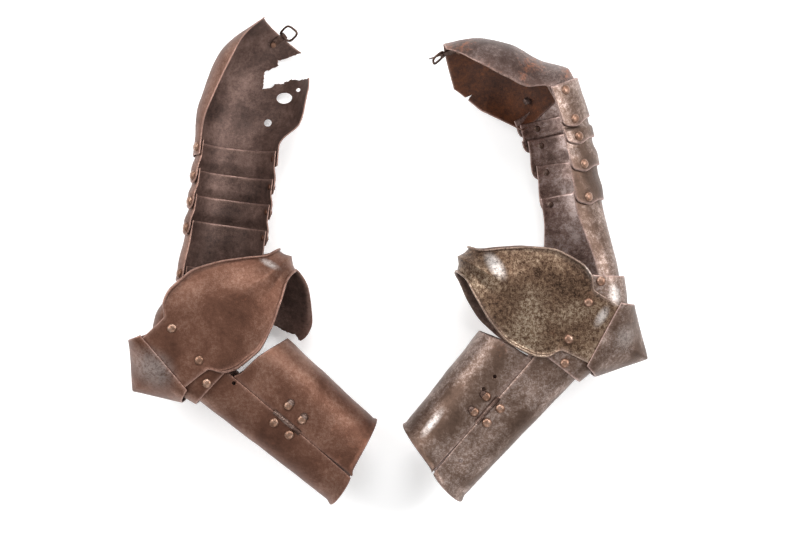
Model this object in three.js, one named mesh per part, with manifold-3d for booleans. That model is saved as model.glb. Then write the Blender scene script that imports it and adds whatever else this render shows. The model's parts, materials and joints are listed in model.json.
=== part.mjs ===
// A pair of plate arm defences as they lie on a table: pauldron, upper arm lames, cannons, elbow.
// Millimetres, +Z up. Each arm is drawn straight in its own elbow frame and then bent at its rivets.
import * as THREE from 'three';
import { mergeVertices } from 'three/addons/utils/BufferGeometryUtils.js';
import Module from 'manifold-3d';

const wasm = await Module();
wasm.setup();

// Driving sizes
const sheet = 1.3; // thickness of every plate
const seatGap = 0.3; // clearance between pieces that touch
const nestStep = 2.7; // growth of radius from one nested plate to the next
const overrun = 4; // how far a cutter passes the piece it cuts

const gutterRadius = 45; // outside of the upper arm at the open lower end of a lame
const overlap = 15.5; // length by which two arm lames overlap

const rivetHoleRadius = 1.9;
const headRadius = 4.6;
const headHeight = 2.5;
const tailRadius = 3.4;
const tailHeight = 1.1;

const pivotSpread = 43; // distance between the two elbow rivets of the wing
const wingFront = 137; // from the rivets to the front of the wing
const wingBack = 34; // how far the wing runs back under the elbow point
const wingDepth = 52; // half depth of the wing ring
const wingHeight = 54.6; // half height of the wing at its widest
const wingCrown = 7; // how much the wing is domed across its height
const wingRidge = 7; // height of the pressed ridge that runs to the front
const rimRoll = 2.2; // how far the rim turns outwards

const copEdge = 30; // from the rivets back to the straight edge of the elbow point
const copHeight = 43; // half height of the elbow point
const copLift = 1.7; // how far the elbow point stands off the wing plate
const elbowSpan = 28; // how far an elbow lame reaches beyond its elbow rivet
const elbowTuck = 11; // how far an elbow lame reaches past its rivet under the wing
const elbowBack = 39; // from the rivets back to the outside of an elbow lame
const elbowFlare = 5; // how much further back its tucked edge reaches
const cheekDepth = 48.4; // half depth of an elbow lame at the cheeks
const pivotSetBack = 12; // the outer pivot of an elbow lame lies this far behind its inner one
const pivotStep = 22; // and this far along the arm

const forearmLength = 169; // from the elbow pivot to the wrist along the axis
const forearmWidth = 55; // half width at the elbow
const forearmDepth = 46; // half depth at the elbow
const wristWidth = 47.7; // half width at the wrist
const wristDepth = 42; // half depth at the wrist
const forearmOffset = 32.5; // from the elbow pivot forward to the axis
const wristSlant = 10; // the wrist edge is this much shorter at the front
const wristBow = 5; // how far the wrist edge bows out between front and back
const wristRoll = 2; // turned wrist rim
const seamGap = 0.8; // gap between the two halves
const seamWiden = 0.9; // each half falls back this much more at the wrist end of the seam

const leafLength = 35; // hinge of the lower cannon
const leafWidth = 15;
const leafSheet = 1.2;
const leafClear = 0.65; // between a leaf and the curved inside of the cannon
const knuckleRadius = 2.9;
const pinRadius = 1.3;
const leafRivetSpacing = 20;
const leafPlace = 89; // from the elbow pivot to the middle of the hinge

const loopWire = 1.3;
const loopWidth = 7;
const loopLength = 13;
const chapeWidth = 7;
const chapeLength = 15;
const chapeSheet = 0.8;

// Breaks, cracks and empty holes as outlines seen from above, in shares of the upper arm's radius.
function ring(x, y, wide, high = wide, corners = 10) {
  return Array.from({ length: corners }, (_, i) => {
    const turn = (2 * Math.PI * i) / corners;
    return [x + wide * Math.cos(turn), y + high * Math.sin(turn)];
  });
}

const tearShares = [
  [1.69, 2.94], [1.29, 2.66], [1.21, 2.62], [0.66, 2.44], [0.68, 2.32], [0.37, 2.13], [0.38, 1.84],
  [0.36, 1.74], [0.55, 1.76], [0.66, 1.87], [0.83, 1.88], [1.02, 2.01], [1.19, 1.98], [1.62, 2], [1.86, 2.01],
];
const brokenWingShares = [
  [0.49, -2.44], [1.95, -2.44], [1.92, -1.42], [1.75, -1.14], [1.69, -0.89], [1.38, -0.8],
  [1.11, -0.89], [0.8, -0.8], [0.49, -0.87],
];
const notchShares = [[1.28, 0.8], [1.7, 0.58], [1.7, 0.86]];

const metals = {
  brown: { color: 0x5a4036, roughness: 0.55, metalness: 0.75 },
  grey: { color: 0x4d443d, roughness: 0.45, metalness: 0.85 },
  rivet: { color: 0x6b5347, roughness: 0.35, metalness: 0.9 },
  dark: { color: 0x3a2a24, roughness: 0.6, metalness: 0.7 },
};

// What differs between the two arms. Angles in degrees, tables of shares as named.
const leftArm = {
  side: 'left',
  mirror: false,
  place: { x: -211.5, y: -88.9 },
  metal: 'brown',
  seamOffset: 10, // the seams of the lower cannon lie this far behind its axis
  couterTurn: 40.3,
  elbowPoint: 79,
  bends: { upperLame: -45, upperCannon: 0, lowerLame: 6, lowerCannon: 3.3 },
  rivetAngles: { near: 155, far: 335 },
  opening: { near: 144, far: 346 },
  lames: [
    { name: 'lame_3', pitch: 27.5, fan: 0.8 },
    { name: 'lame_2', pitch: 27, fan: 1 },
    { name: 'lame_1', pitch: 30, fan: 1.5 },
  ],
  shoulderFan: 1.5,
  firstLameOutside: false,
  farDropShare: 1.7,
  chain: { x: 40.7, y: 75.5, turn: -3.3 },
  cannon: { length: 48.5, elbow: { wide: gutterRadius, deep: gutterRadius, square: 2 } },
  spaulder: {
    reach: 132,
    spineShares: [
      { share: 0.33, x: 0.073, y: 0.33, wide: 1.21, deep: 1.12, turn: -4, span: { near: 138, far: 350 } },
      { share: 0.66, x: 0.147, y: 0.66, wide: 1.15, deep: 1.14, turn: -14, span: { near: 131, far: 345 } },
      { share: 1, x: 0.306, y: 0.97, wide: 0.72, deep: 0.95, turn: -33, span: { near: 165, far: 335 } },
    ],
  },
  buckle: { placeShare: 0.5, tongue: false, swing: 25 },
  breakShares: {
    couter_wing: [brokenWingShares],
    spaulder: [tearShares, ring(0.92, 1.54, 0.19, 0.135), ring(1.24, 1.74, 0.05), ring(0.59, 0.92, 0.09)],
    lower_cannon_back: [ring(0.127, -1.44, 0.045)],
    lower_cannon_front: [],
  },
};

const rightArm = {
  side: 'right',
  mirror: true,
  place: { x: 192.1, y: -64.9 },
  metal: 'grey',
  seamOffset: 4.5,
  couterTurn: 28.3,
  elbowPoint: 87,
  bends: { upperLame: -26, upperCannon: -12.3, lowerLame: 9, lowerCannon: 3.7 },
  rivetAngles: { near: 126, far: 282 },
  opening: { near: 106, far: 295 },
  lames: [
    { name: 'lame_4', pitch: 34.5, fan: 3 },
    { name: 'lame_3', pitch: 29, fan: -4 },
    { name: 'lame_2', pitch: 18.6, fan: -2 },
    { name: 'lame_1', pitch: 31, fan: -6 },
  ],
  shoulderFan: -13,
  firstLameOutside: true,
  farDropShare: 0.3,
  chain: { x: 10.7, y: 43.5, turn: 0 },
  cannon: { length: 88, elbow: { wide: 45.5, deep: 46, square: 3.4 } },
  spaulder: {
    reach: 84,
    spineShares: [
      { share: 0.25, x: 0.2, y: 0.23, wide: 0.93, deep: 1.04, turn: -22, span: { near: 112, far: 318 } },
      { share: 0.5, x: 0.37, y: 0.41, wide: 1.02, deep: 1.08, turn: -42, span: { near: 118, far: 316 } },
      { share: 0.75, x: 0.6, y: 0.57, wide: 1.08, deep: 1.1, turn: -60, span: { near: 136, far: 298 } },
      { share: 1, x: 0.83, y: 0.64, wide: 1.1, deep: 1.06, turn: -76, span: { near: 162, far: 274 } },
    ],
  },
  buckle: { placeShare: 0.5, tongue: true, swing: 30 },
  breakShares: {
    couter_wing: [],
    spaulder: [notchShares],
    lower_cannon_back: [ring(0.05, -4.22, 0.045)],
    lower_cannon_front: [ring(0.733, -2.25, 0.045), ring(0.733, -2.63, 0.045)],
  },
};

const degrees = (angle) => THREE.MathUtils.degToRad(angle);
const mix = THREE.MathUtils.lerp;
const vector = (x, y, z) => new THREE.Vector3(x, y, z);

// Closed solids

// Slope of the curve at a key: level where the keys turn back or stay alike, so nothing overshoots.
function slopeAt(keys, i) {
  const rise = (a, b) => (keys[b][1] - keys[a][1]) / (keys[b][0] - keys[a][0]);
  if (i === 0) return rise(0, 1);
  if (i === keys.length - 1) return rise(i - 1, i);
  const before = rise(i - 1, i);
  const after = rise(i, i + 1);
  return before * after <= 0 ? 0 : (2 * before * after) / (before + after);
}

// One value between hand-chosen keys: a smooth curve through [share, value] pairs.
function along(keys) {
  return (share) => {
    let last = keys.length - 2;
    while (last > 0 && share < keys[last][0]) last -= 1;
    const [start, from] = keys[last];
    const [end, to] = keys[last + 1];
    const slopeIn = slopeAt(keys, last);
    const slopeOut = slopeAt(keys, last + 1);
    const t = THREE.MathUtils.clamp((share - start) / (end - start), 0, 1);
    const span = end - start;
    const rise = (2 * t ** 3 - 3 * t ** 2 + 1) * from + (3 * t ** 2 - 2 * t ** 3) * to;
    return rise + span * ((t ** 3 - 2 * t ** 2 + t) * slopeIn + (t ** 3 - t ** 2) * slopeOut);
  };
}

// A sheet of even thickness under an outer surface (u, v), closed along its four edges.
function plate(surface, columns, rows, thickness = sheet) {
  const step = 1e-3;
  const outer = [];
  const inner = [];
  for (let i = 0; i <= columns; i += 1) {
    for (let j = 0; j <= rows; j += 1) {
      const u = i / columns;
      const v = j / rows;
      const point = surface(u, v);
      const du = surface(Math.min(u + step, 1), v).sub(surface(Math.max(u - step, 0), v));
      const dv = surface(u, Math.min(v + step, 1)).sub(surface(u, Math.max(v - step, 0)));
      const normal = du.cross(dv).normalize();
      outer.push(point);
      inner.push(point.clone().addScaledVector(normal, -thickness));
    }
  }
  const across = rows + 1;
  const count = outer.length;
  const index = [];
  const quad = (a, b, c, d) => index.push(a, b, c, a, c, d);
  for (let i = 0; i < columns; i += 1) {
    for (let j = 0; j < rows; j += 1) {
      const a = i * across + j;
      quad(a, a + across, a + across + 1, a + 1);
      quad(count + a, count + a + 1, count + a + across + 1, count + a + across);
    }
    const edge = i * across;
    quad(edge, count + edge, count + edge + across, edge + across);
    const far = edge + rows;
    quad(far, far + across, count + far + across, count + far);
  }
  for (let j = 0; j < rows; j += 1) {
    quad(j, j + 1, count + j + 1, count + j);
    const end = columns * across + j;
    quad(end, count + end, count + end + 1, end + 1);
  }
  const geometry = new THREE.BufferGeometry();
  const flat = outer.concat(inner).flatMap((point) => point.toArray());
  geometry.setAttribute('position', new THREE.Float32BufferAttribute(flat, 3));
  geometry.setIndex(index);
  return geometry;
}

function toSolid(geometry) {
  const bare = geometry.clone();
  bare.deleteAttribute('normal');
  bare.deleteAttribute('uv');
  const merged = mergeVertices(bare);
  return new wasm.Manifold(new wasm.Mesh({
    numProp: 3,
    vertProperties: new Float32Array(merged.attributes.position.array),
    triVerts: new Uint32Array(merged.index.array),
  }));
}

function toGeometry(solid) {
  const mesh = solid.getMesh();
  const geometry = new THREE.BufferGeometry();
  geometry.setAttribute('position', new THREE.Float32BufferAttribute(mesh.vertProperties, 3));
  geometry.setIndex(Array.from(mesh.triVerts));
  const loose = geometry.toNonIndexed();
  loose.computeVertexNormals();
  return loose;
}

// Turns a geometry whose own axis is +Y onto a direction and moves it to a point.
function aim(geometry, point, direction) {
  const turn = new THREE.Quaternion().setFromUnitVectors(vector(0, 1, 0), direction);
  const matrix = new THREE.Matrix4().compose(point, turn, vector(1, 1, 1));
  return geometry.clone().applyMatrix4(matrix);
}

function drill(solid, point, direction, radius = rivetHoleRadius) {
  const length = 2 * (headRadius + overrun);
  const cutter = aim(new THREE.CylinderGeometry(radius, radius, length, 8), point, direction);
  return solid.subtract(toSolid(cutter));
}

// A domed rivet along +Y: y = 0 is the outer face of the stack, which is `stack` thick.
// Its head or its tail can be sunk a little to be one with the plate that carries it.
function rivetGeometry(stack, sunk = {}) {
  const shank = rivetHoleRadius - seatGap;
  const clear = 2.4 * seatGap;
  const lift = sunk.head ? -sheet / 3 : clear;
  const foot = -stack + (sunk.tail ? sheet / 3 : -clear);
  const profile = [
    [0, foot - tailHeight], [tailRadius * 0.8, foot - tailHeight], [tailRadius, foot],
    [shank, foot], [shank, lift], [headRadius, lift],
    [headRadius * 0.72, clear + headHeight * 0.7], [0, clear + headHeight],
  ];
  const faces = sunk.head ? 6 : 8;
  return new THREE.LatheGeometry(profile.map(([x, y]) => new THREE.Vector2(x, y)), faces);
}

// A plate bent round a line: stations along it give centre, half sizes, turn and squareness.
// Angle 90 degrees faces +Z, 180 the back of the arm, 0 its front.
function gutterSurface(stations) {
  const channel = (read) => along(stations.map((station) => [station.share, read(station)]));
  const x = channel((s) => s.x);
  const y = channel((s) => s.y);
  const z = channel((s) => s.z ?? 0);
  const wide = channel((s) => s.wide);
  const deep = channel((s) => s.deep);
  const turn = channel((s) => s.turn ?? 0);
  const square = channel((s) => s.square ?? 2);
  const near = channel((s) => s.near);
  const far = channel((s) => s.far);
  const curve = (value, power) => Math.sign(value) * Math.abs(value) ** power;
  return (u, v) => {
    const angle = degrees(mix(near(u), far(u), v));
    const power = 2 / square(u);
    const out = wide(u) * curve(Math.cos(angle), power);
    const up = deep(u) * curve(Math.sin(angle), power);
    const tilt = degrees(turn(u));
    return vector(x(u) + out * Math.cos(tilt), y(u) + out * Math.sin(tilt), z(u) + up);
  };
}

const rest = new THREE.Group();
rest.name = 'plate_arm_harness';

function mesh(name, geometry, metal) {
  const made = new THREE.Mesh(geometry, new THREE.MeshStandardMaterial(metals[metal]));
  made.name = name;
  return made;
}

// A group that turns about a line; what it holds keeps the coordinates of its parent.
function hinge(parent, label, point, axis, bend) {
  const turning = new THREE.Group();
  turning.position.copy(point);
  turning.quaternion.setFromAxisAngle(axis, degrees(bend));
  turning.userData.hinge = { label, axis: axis.toArray() };
  const content = new THREE.Group();
  content.position.copy(point).negate();
  turning.add(content);
  parent.add(turning);
  return content;
}

// Where a line through a stack of plates meets its outer and inner faces, seen from a point inside.
// Lines round it are tried too, so a flat head and tail clear the curve of the plates.
function stackAt(outerGeometry, innerGeometry, point, direction) {
  const turn = new THREE.Quaternion().setFromUnitVectors(vector(0, 1, 0), direction);
  const ring = (radius) => [0, 1, 2, 3, 4, 5, 6, 7].map((i) => (
    vector(Math.cos(i * Math.PI / 4), 0, Math.sin(i * Math.PI / 4))
      .multiplyScalar(radius).applyQuaternion(turn).add(point)
  ));
  const probe = (geometry, radius) => {
    const target = new THREE.Mesh(geometry, new THREE.MeshBasicMaterial({ side: THREE.DoubleSide }));
    return [point, ...ring(radius)].flatMap((start) => (
      new THREE.Raycaster(start, direction).intersectObject(target).map((hit) => hit.distance)
    ));
  };
  const top = Math.max(...probe(outerGeometry, headRadius));
  const bottom = Math.min(...probe(innerGeometry, tailRadius));
  return { top: point.clone().addScaledVector(direction, top), thick: top - bottom };
}

// Elbow

const wingMiddle = wingFront * 0.27;
const wingReach = wingFront - wingMiddle;
const squareAt = (x) => (x < wingMiddle ? 3.4 : 2.1); // the ring is squarer behind its middle
const ringDepthAt = (x) => (
  wingDepth * (1 - Math.abs((x - wingMiddle) / wingReach) ** squareAt(x)) ** (1 / squareAt(x))
);

// Half height of the wing against the distance from the rivets, both as shares.
const wingHeightShares = [
  [-0.30, 0.60], [0.0, 0.635], [0.08, 0.885], [0.2, 1], [0.36, 1.01], [0.575, 0.83],
  [0.765, 0.55], [0.93, 0.3], [1.02, 0.27],
];
const wingHeightAt = along(wingHeightShares);
const smooth = THREE.MathUtils.smoothstep;

function wingSurface(arm) {
  const limit = Math.acos(-(((wingBack + wingMiddle) / wingReach) ** (squareAt(-wingBack) / 2)));
  return (u, v) => {
    const angle = mix(limit, -limit, u);
    const cosine = Math.cos(angle);
    const power = 2 / squareAt(wingMiddle + cosine);
    const x = wingMiddle + wingReach * Math.sign(cosine) * Math.abs(cosine) ** power;
    const z = Math.sign(angle) * ringDepthAt(x);
    const side = mix(-1, 1, v);
    const share = x / wingFront;
    const isFar = smooth(-z / wingDepth, 0, 0.6);
    const front = smooth(share, 0.35, 0.95);
    const drop = side < 0 ? 1 + arm.farDropShare * isFar * front : 1;
    const half = wingHeight * wingHeightAt(share) * drop;
    const across = Math.abs(side);
    const dome = wingCrown * mix(across ** 2, across, front) * mix(1, 0.6, front) * (1 - 0.95 * isFar);
    const ridge = wingRidge * front * Math.max(1 - across * 2.2, 0) * (1 - 0.6 * front ** 6);
    const roll = rimRoll * smooth(across, 0.88, 1);
    const lift = ridge + roll * smooth(share, -0.1, 0.2) - dome * smooth(share, 0.05, 0.42);
    const tilt = Math.atan2(z * wingReach, (x - wingMiddle) * wingDepth);
    return vector(x + lift * Math.cos(tilt), side * half, z + lift * Math.sin(tilt));
  };
}

function copSurface(arm) {
  const depth = ringDepthAt(-copEdge) + copLift;
  const shoulder = copHeight * 0.38;
  const point = arm.elbowPoint - copEdge - shoulder;
  return (u, v) => {
    const turn = Math.PI * u;
    const side = mix(1, -1, v);
    const cosine = Math.cos(turn);
    const bulge = 1 - Math.abs(cosine) ** 1.35;
    const peak = (1 - Math.abs(side)) ** 0.95 * point * bulge ** 1.3;
    const back = -copEdge - shoulder * Math.abs(Math.sin(turn)) ** 0.8 - peak;
    const height = copHeight * mix(0.86, 1, Math.sin(turn));
    return vector(back, side * height, depth * Math.sign(cosine) * Math.abs(cosine) ** 0.8);
  };
}

const innerPivot = (end) => vector(0, end * pivotSpread / 2, 0);
const outerPivot = (end) => vector(-pivotSetBack, end * (pivotSpread / 2 + pivotStep), 0);
const zAxis = vector(0, 0, 1);

// Lobed strap round the back of the elbow; end is +1 towards the shoulder, -1 towards the wrist.
function elbowLameSurface(end) {
  const low = pivotSpread / 2 - elbowTuck;
  const high = pivotSpread / 2 + elbowSpan;
  const lean = elbowBack / 8;
  const station = (share, y, back) => ({
    share, y, x: back * 0.12, wide: back * 1.12, deep: cheekDepth, square: 3.6, near: 84, far: 276,
  });
  const surface = gutterSurface([
    station(0, low, elbowBack + elbowFlare),
    station(0.5, (low + high) / 2, elbowBack + elbowFlare / 2 + lean / 4),
    station(1, high, elbowBack),
  ]);
  return (u, v) => {
    const point = surface(u, end > 0 ? v : 1 - v);
    return vector(point.x, point.y * end, point.z);
  };
}

// Upper arm. The chain frame has its origin on the axis of the upper cannon beside its elbow rivet.

const innerRadius = gutterRadius - nestStep;
const half = overlap / 2;

function lameSurface(arm, pitch, flush) {
  const { near, far } = arm.opening;
  const at = (share, y, radius) => ({ share, x: 0, y, wide: radius, deep: radius, near, far });
  const top = flush ? gutterRadius : innerRadius;
  const length = pitch + overlap;
  return gutterSurface([
    at(0, -half, gutterRadius),
    at(overlap / length, half, gutterRadius),
    at(pitch / length, pitch - half, top),
    at(1, pitch + half, top),
  ]);
}

function cannonSurface(arm) {
  const { near, far } = arm.opening;
  const { length, elbow } = arm.cannon;
  const end = -half - seatGap;
  const total = length + half - end;
  const at = (y, wide, deep, square, from, to) => ({
    share: (y - end) / total, x: 0, y, wide, deep, square, near: from, far: to,
  });
  return gutterSurface([
    at(end, elbow.wide, elbow.deep, elbow.square, near, far),
    at(half, elbow.wide, elbow.deep, elbow.square, near, far),
    at(length - half, innerRadius, innerRadius, 2, near, far),
    at(length + half, innerRadius, innerRadius, 2, near, far),
  ]);
}

function spaulderSurface(arm) {
  const { reach, spineShares } = arm.spaulder;
  const bottom = arm.firstLameOutside ? innerRadius : gutterRadius;
  const total = reach + half;
  const level = (y) => ({
    share: (y + half) / total, x: 0, y, wide: bottom, deep: bottom, turn: 0, ...arm.opening,
  });
  const rows = spineShares.map((row) => ({
    share: (half + row.share * reach) / total,
    x: row.x * reach,
    y: row.y * reach,
    wide: gutterRadius * row.wide,
    deep: gutterRadius * row.deep,
    turn: row.turn,
    ...row.span,
  }));
  return gutterSurface([level(-half), level(half * 1.7), ...rows]);
}

// Lower cannon. Its half lies behind the seams (front = false) or in front of them.

const backCutShares = [[-0.3, 0.18], [0.1, 0.18]];
const frontCutShares = [[0.08, -0.25], [0.24, -0.3], [0.4, -0.37], [0.62, -0.41], [1.01, -0.6]];

// Its width follows the distance along the arm, so both halves lie on one tube.
function forearmSurface(arm, front) {
  const pivot = outerPivot(-1);
  const endAt = along(front ? frontCutShares : backCutShares);
  const curve = (value, power) => Math.sign(value) * Math.abs(value) ** power;
  const section = (way, v) => {
    const square = mix(3.4, 2.2, way);
    const wide = mix(forearmWidth, wristWidth, way);
    const gape = seamGap / 2 + seamWiden * smooth(way, 0.72, 1);
    const seam = arm.seamOffset + (front ? -gape : gape);
    const edge = Math.acos(-((seam / wide) ** (square / 2)));
    const angle = front ? mix(edge, -edge, v) : mix(2 * Math.PI - edge, edge, v);
    return { wide, across: curve(Math.cos(angle), 2 / square), up: curve(Math.sin(angle), 2 / square) };
  };
  return (u, v) => {
    const start = section(0, v);
    const share = (forearmOffset + start.wide * start.across) / (forearmOffset + forearmWidth);
    const wrist = -forearmLength + wristSlant * start.across - wristBow * start.up ** 2;
    const y = mix(endAt(share) * forearmWidth, wrist, u);
    const way = THREE.MathUtils.clamp(-y / forearmLength, 0, 1);
    const roll = wristRoll * smooth(u, 0.965, 1);
    const { wide, across, up } = section(way, v);
    const deep = mix(forearmDepth, wristDepth, way) + roll;
    return vector(pivot.x + forearmOffset + (wide + roll) * across, pivot.y + y, deep * up);
  };
}

// The same surface moved inwards along its normal.
function inset(surface, depth) {
  const step = 1e-3;
  return (u, v) => {
    const du = surface(Math.min(u + step, 1), v).sub(surface(Math.max(u - step, 0), v));
    const dv = surface(u, Math.min(v + step, 1)).sub(surface(u, Math.max(v - step, 0)));
    return surface(u, v).addScaledVector(du.cross(dv).normalize(), -depth);
  };
}

const cylinder = (radius, length, point, direction, faces = 10) => (
  toSolid(aim(new THREE.CylinderGeometry(radius, radius, length, faces), point, direction))
);

// The hinge of the lower cannon: its line, two leaves with their rivets, and the pin.
function forearmHinge(arm) {
  const back = forearmSurface(arm, false);
  const front = forearmSurface(arm, true);
  const middle = outerPivot(-1).y - leafPlace;
  const strip = (surface, y0, y1, v0, v1) => (u, v) => {
    const w = mix(v0, v1, v);
    const from = surface(0, w).y;
    return surface((from - mix(y0, y1, u)) / (from - surface(1, w).y), w);
  };
  const y0 = middle + leafLength / 2;
  const y1 = middle - leafLength / 2;
  const at = (y) => strip(back, y, y, 1, 1)(0, 0).add(strip(front, y, y, 0, 0)(0, 0)).multiplyScalar(0.5);
  const start = at(y0);
  const end = at(y1);
  const axis = end.clone().sub(start).normalize();
  const centre = start.clone().add(end).multiplyScalar(0.5);
  const piece = leafLength / 3;
  const place = (shift) => centre.clone().addScaledVector(axis, shift);
  const sideways = back(0.5, 1).distanceTo(back(0.5, 0.98)) / 0.02;
  const widthShare = leafWidth / sideways;
  const slot = cylinder(knuckleRadius + 2 * seatGap, leafLength + 2 * seatGap, centre, axis, 12);
  const leaf = (surface, own, other, v0, v1, rivetShare) => {
    const inner = inset(strip(surface, y0, y1, v0, v1), sheet + leafClear);
    let solid = toSolid(plate(inner, 2, 4, leafSheet));
    for (const shift of other) {
      const hole = cylinder(knuckleRadius + seatGap, piece + 2 * seatGap, place(shift), axis, 12);
      solid = solid.subtract(hole);
    }
    for (const shift of own) {
      solid = solid.add(cylinder(knuckleRadius, piece - seatGap, place(shift), axis, 10));
    }
    solid = solid.subtract(cylinder(pinRadius + seatGap, leafLength + overrun, centre, axis, 8));
    const rivets = [-1, 1].map((side) => {
      const spot = strip(surface, y0, y1, v0, v1);
      const u = 0.5 + side * leafRivetSpacing / leafLength / 2;
      const point = spot(u, rivetShare);
      const under = inset(spot, sheet)(u, rivetShare);
      return { point, direction: point.clone().sub(under).normalize() };
    });
    for (const { point, direction } of rivets) {
      const shape = rivetGeometry(sheet + leafClear + leafSheet, { tail: true });
      solid = solid.add(toSolid(aim(shape, point, direction)));
    }
    return { solid, rivets };
  };
  const outerTwo = [-piece, piece];
  const backLeaf = leaf(back, outerTwo, [0], 1 - widthShare, 1, 0.4);
  const frontLeaf = leaf(front, [0], outerTwo, 0, widthShare, 0.6);
  const pin = aim(new THREE.CylinderGeometry(pinRadius, pinRadius, leafLength + seatGap, 8), centre, axis);
  return { centre, axis, slot, backLeaf, frontLeaf, pin };
}

// Buckle on the shoulder edge: a riveted tab with an eye, and a wire loop that swings in it.
function buckle(arm, surface) {
  const { placeShare, tongue } = arm.buckle;
  const under = inset(surface, sheet + 3 * seatGap);
  const { reach } = arm.spaulder;
  const half = chapeWidth / gutterRadius / Math.PI / 2;
  const length = chapeLength / reach;
  const edge = under(1, placeShare);
  const along2 = edge.clone().sub(under(1 - length, placeShare)).normalize();
  const across = under(1, placeShare + half).sub(under(1, placeShare - half)).normalize();
  const normal = along2.clone().cross(across).normalize();
  across.copy(normal).cross(along2).normalize();
  const depth = edge.clone().addScaledVector(normal, -chapeSheet / 2 - seatGap);
  const eye = loopWire + seatGap + chapeSheet;
  const bar = depth.clone().addScaledVector(along2, eye + seatGap * 2);
  const tabLength = chapeLength + eye;
  const box = new THREE.BoxGeometry(chapeWidth, tabLength, chapeSheet);
  const basis = new THREE.Matrix4().makeBasis(across, along2, normal.clone().negate());
  box.applyMatrix4(basis.setPosition(depth.clone().addScaledVector(along2, eye - tabLength / 2)));
  let tab = toSolid(box).add(cylinder(eye, chapeWidth, bar, across));
  tab = tab.subtract(cylinder(loopWire + seatGap, 2 * chapeWidth, bar, across, 8));
  const reachSide = chapeWidth / 2 + loopWire + 2 * seatGap;
  const corner = (side, out) => bar.clone()
    .addScaledVector(across, side * reachSide).addScaledVector(along2, out * loopLength);
  const corners = [corner(-1, 0), corner(1, 0), corner(1, 1), corner(-1, 1)];
  const rods = corners.map((from, i) => {
    const to = corners[(i + 1) % 4];
    const middle = from.clone().add(to).multiplyScalar(0.5);
    const length = from.distanceTo(to) + loopWire * (i % 2 ? 0 : 2);
    return cylinder(loopWire, length, middle, to.clone().sub(from).normalize(), 6);
  });
  const loop = rods.reduce((joined, rod) => joined.add(rod));
  let prong = null;
  if (tongue) {
    const gap = loopWire * 2 + 2 * seatGap;
    tab = tab.subtract(cylinder(eye + seatGap, gap, bar, across, 12));
    prong = cylinder(eye, gap - 2 * seatGap, bar, across);
    const lifted = along2.clone().addScaledVector(normal, 0.42).normalize();
    const tip = bar.clone().addScaledVector(lifted, loopLength + 2 * loopWire);
    const shaft = aim(
      new THREE.CylinderGeometry(loopWire * 0.6, loopWire * 0.9, tip.distanceTo(bar), 6),
      bar.clone().add(tip).multiplyScalar(0.5), lifted,
    );
    prong = prong.add(toSolid(shaft)).subtract(cylinder(loopWire + seatGap, 2 * gap, bar, across, 8));
  }
  const rivetShare = 1 - length * 0.62;
  const point = surface(rivetShare, placeShare);
  const direction = point.clone().sub(inset(surface, sheet)(rivetShare, placeShare)).normalize();
  return { tab, loop, prong, bar, across, point, direction };
}

// Assembly

// Cuts outlines through one side of a plate: above (1) or below (-1) the plane the arm bends in.
function pierce(solid, outlines, base, side) {
  const reach = 3 * gutterRadius;
  return outlines.reduce((left, outline) => {
    const corners = outline.map(([x, y]) => new THREE.Vector2(x * gutterRadius, y * gutterRadius + base));
    const prism = new THREE.ExtrudeGeometry(new THREE.Shape(corners), { depth: reach, bevelEnabled: false });
    return left.subtract(toSolid(prism.translate(0, 0, side > 0 ? 0 : -reach)));
  }, solid);
}

// A plate in work: its bare outline to measure on, and its solid to drill and join.
function makePlate(name, surface, columns, rows) {
  const bare = plate(surface, columns, rows);
  return { name, bare, solid: toSolid(bare) };
}

// Rivets an outer plate to an inner one. The rivet is a piece of its own, or fused to the outer plate.
function rivetPair(outer, inner, origin, direction, fused) {
  const { top, thick } = stackAt(outer.bare, inner.bare, origin, direction);
  inner.solid = drill(inner.solid, top, direction);
  if (!fused) {
    outer.solid = drill(outer.solid, top, direction);
    return aim(rivetGeometry(thick), top, direction);
  }
  outer.solid = outer.solid.add(toSolid(aim(rivetGeometry(thick, { head: true }), top, direction)));
  return null;
}

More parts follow.
